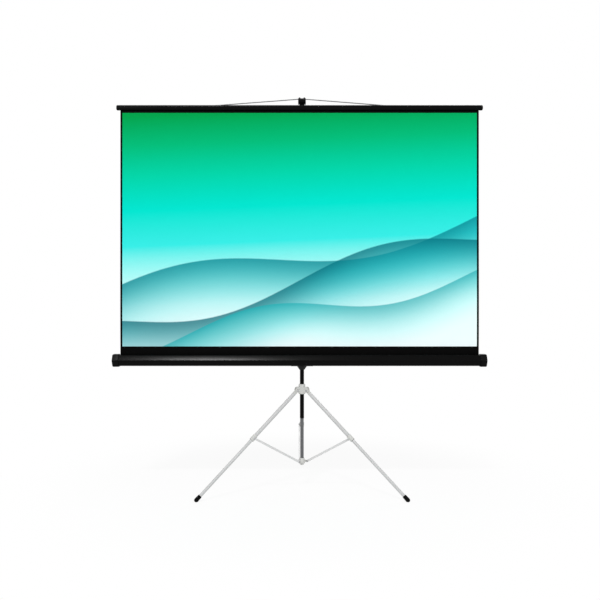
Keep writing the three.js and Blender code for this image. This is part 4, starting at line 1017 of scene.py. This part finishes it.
def ribbon(tree, u, v, behind, start, rise, swing, waves, phase, depth, crest_colour, foot_colour, cover):
    """Lay a ribbon over what is behind it.

    Its crest is at start + rise * u + swing * sin(2 pi (waves * u + phase)). Below the crest it goes from one
    colour to the other, and its cover fades to none over its depth.
    """
    turn = add_node(tree, "ShaderNodeMath", {
        0: u, 1: 2 * math.pi * waves, 2: 2 * math.pi * phase}, operation="MULTIPLY_ADD")
    wave = add_node(tree, "ShaderNodeMath", {0: turn.outputs[0]}, operation="SINE")
    swung = add_node(tree, "ShaderNodeMath", {
        0: wave.outputs[0], 1: swing, 2: start}, operation="MULTIPLY_ADD")
    crest = add_node(tree, "ShaderNodeMath", {0: u, 1: rise, 2: swung.outputs[0]}, operation="MULTIPLY_ADD")
    below = add_node(tree, "ShaderNodeMath", {0: crest.outputs[0], 1: v}, operation="SUBTRACT").outputs[0]
    edge = add_node(tree, "ShaderNodeMapRange", {"Value": below, "From Min": 0.0, "From Max": CREST_EDGE})
    tone = add_node(tree, "ShaderNodeMapRange", {
        "Value": below, "From Min": 0.0, "From Max": SHADE_SHARE * depth})
    shade = add_node(tree, "ShaderNodeMix", {
        0: tone.outputs[0], 6: linear(crest_colour), 7: linear(foot_colour)}, data_type="RGBA")
    fade = add_node(tree, "ShaderNodeMapRange", {
        "Value": below, "From Min": 0.0, "From Max": depth, "To Min": cover, "To Max": 0.0},
        interpolation_type="SMOOTHSTEP")
    veil = add_node(tree, "ShaderNodeMath", {
        0: edge.outputs[0], 1: fade.outputs[0]}, operation="MULTIPLY")
    layer = add_node(tree, "ShaderNodeMix", {
        0: veil.outputs[0], 6: behind, 7: shade.outputs[2]}, data_type="RGBA")
    return layer.outputs[2]


printed, tree, shader, uv = woven("printed_screen_cloth", roughness=0.75)
on_sheet = add_node(tree, "ShaderNodeSeparateXYZ", {0: uv})
u, v = on_sheet.outputs["X"], on_sheet.outputs["Y"]
lean = add_node(tree, "ShaderNodeMath", {0: u, 1: -PRINT_LEAN, 2: PRINT_LEAN / 2}, operation="MULTIPLY_ADD")
height = add_node(tree, "ShaderNodeMath", {0: v, 1: lean.outputs[0]}, operation="ADD")
picture = colour_steps(tree, height.outputs[0])
for settings in RIBBONS:
    picture = ribbon(tree, u, v, picture, **settings)
tree.links.new(picture, shader.inputs["Base Color"])
print("picture of", len(PRINT_STEPS), "colour steps and", len(RIBBONS), "ribbons")

# %% [markdown]
# ## Screen cloth: sheet
# The cloth is stretched between the batten and the roller. A black border surrounds the picture, and the
# back is matt black, so that no light comes through. The side edges of such a cloth curl very slightly
# forward, most of all just above the roller, whose set they keep. The grid has lines exactly at the edges of
# the border, so the border is faces of its own.

# %% Screen cloth: sheet
SIDE_BORDER = 10 * MM
PICTURE_BOTTOM = 68.7 * MM
PICTURE_TOP = 18.5 * MM
CURL = 2.5 * MM
CURL_WIDTH = 60 * MM
# One over the largest value of h * (1 - h) ** 4, which is at h = 1 / 5.
CURL_PEAK = 5 ** 5 / 4 ** 4
SHEET_COLUMNS, SHEET_ROWS, CURL_COLUMNS = 61, 41, 9

curl_lines = np.linspace(0, CURL_WIDTH, CURL_COLUMNS)
across = np.unique(np.concatenate([
    np.linspace(0, cloth_size.x, SHEET_COLUMNS), [SIDE_BORDER, cloth_size.x - SIDE_BORDER],
    curl_lines, cloth_size.x - curl_lines]).round(6))
upward = np.unique(np.concatenate([
    np.linspace(0, cloth_size.z, SHEET_ROWS), [PICTURE_BOTTOM, cloth_size.z - PICTURE_TOP]]).round(6))
s, t = np.meshgrid(across, upward)
from_edge = np.minimum(s, cloth_size.x - s)
held = np.clip((t - PICTURE_BOTTOM) / (cloth_size.z - PICTURE_BOTTOM - PICTURE_TOP), 0, 1)
set_left = CURL_PEAK * held * (1 - held) ** 4
curl = CURL * np.clip(1 - from_edge / CURL_WIDTH, 0, 1) ** 2 * set_left
sheet_points = np.stack([cloth_low.x + s, np.full(s.shape, cloth_low.y) - curl, cloth_low.z + t], axis=-1)
sheet_quads = grid_quads(*s.shape)
cloth_mesh = bpy.data.meshes.new("screen_cloth_sheet")
cloth_mesh.from_pydata(sheet_points.reshape(-1, 3).tolist(), [], sheet_quads[:, ::-1].tolist())
corner_map = np.stack([s / cloth_size.x, t / cloth_size.z], axis=-1).reshape(-1, 2)
loop_vertex = np.empty(len(cloth_mesh.loops), np.int32)
cloth_mesh.loops.foreach_get("vertex_index", loop_vertex)
sheet_map = cloth_mesh.uv_layers.new(name="sheet")
sheet_map.uv.foreach_set("vector", corner_map[loop_vertex].astype(np.float32).ravel())

cloth = settle(cloth_mesh, "screen_fabric", finish=printed)
for material in (border, backing, backing):
    cloth_mesh.materials.append(material)
face_s, face_t = (values.ravel()[sheet_quads].mean(axis=1) for values in (s, t))
in_picture = (
    (face_s > SIDE_BORDER) & (face_s < cloth_size.x - SIDE_BORDER)
    & (face_t > PICTURE_BOTTOM) & (face_t < cloth_size.z - PICTURE_TOP))
cloth_mesh.polygons.foreach_set("material_index", np.where(in_picture, 0, 1).astype(np.int32))
thickness = cloth.modifiers.new("cloth_thickness", "SOLIDIFY")
thickness.thickness = cloth_size.y
thickness.offset = -1
thickness.material_offset = 2
thickness.material_offset_rim = 1

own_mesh(cloth)
print(f"cloth: {cloth_size.x:.3f} by {cloth_size.z:.3f} m")

# %% [markdown]
# ## Hidden pieces
# Roller plugs, spring and shaft are inside the case. Their CAD solids stay, and each gets the finish of its
# slot, so that nothing is left in a plain colour.

# %% Finishes of the remaining nodes
left_over = []
for name, node in frame["nodes"].items():
    if node.hide_render or SLOT_OF[name] not in FINISHES:
        continue
    node.data.materials.clear()
    node.data.materials.append(FINISHES[SLOT_OF[name]])
    left_over.append(name)
print("CAD nodes that show:", left_over)
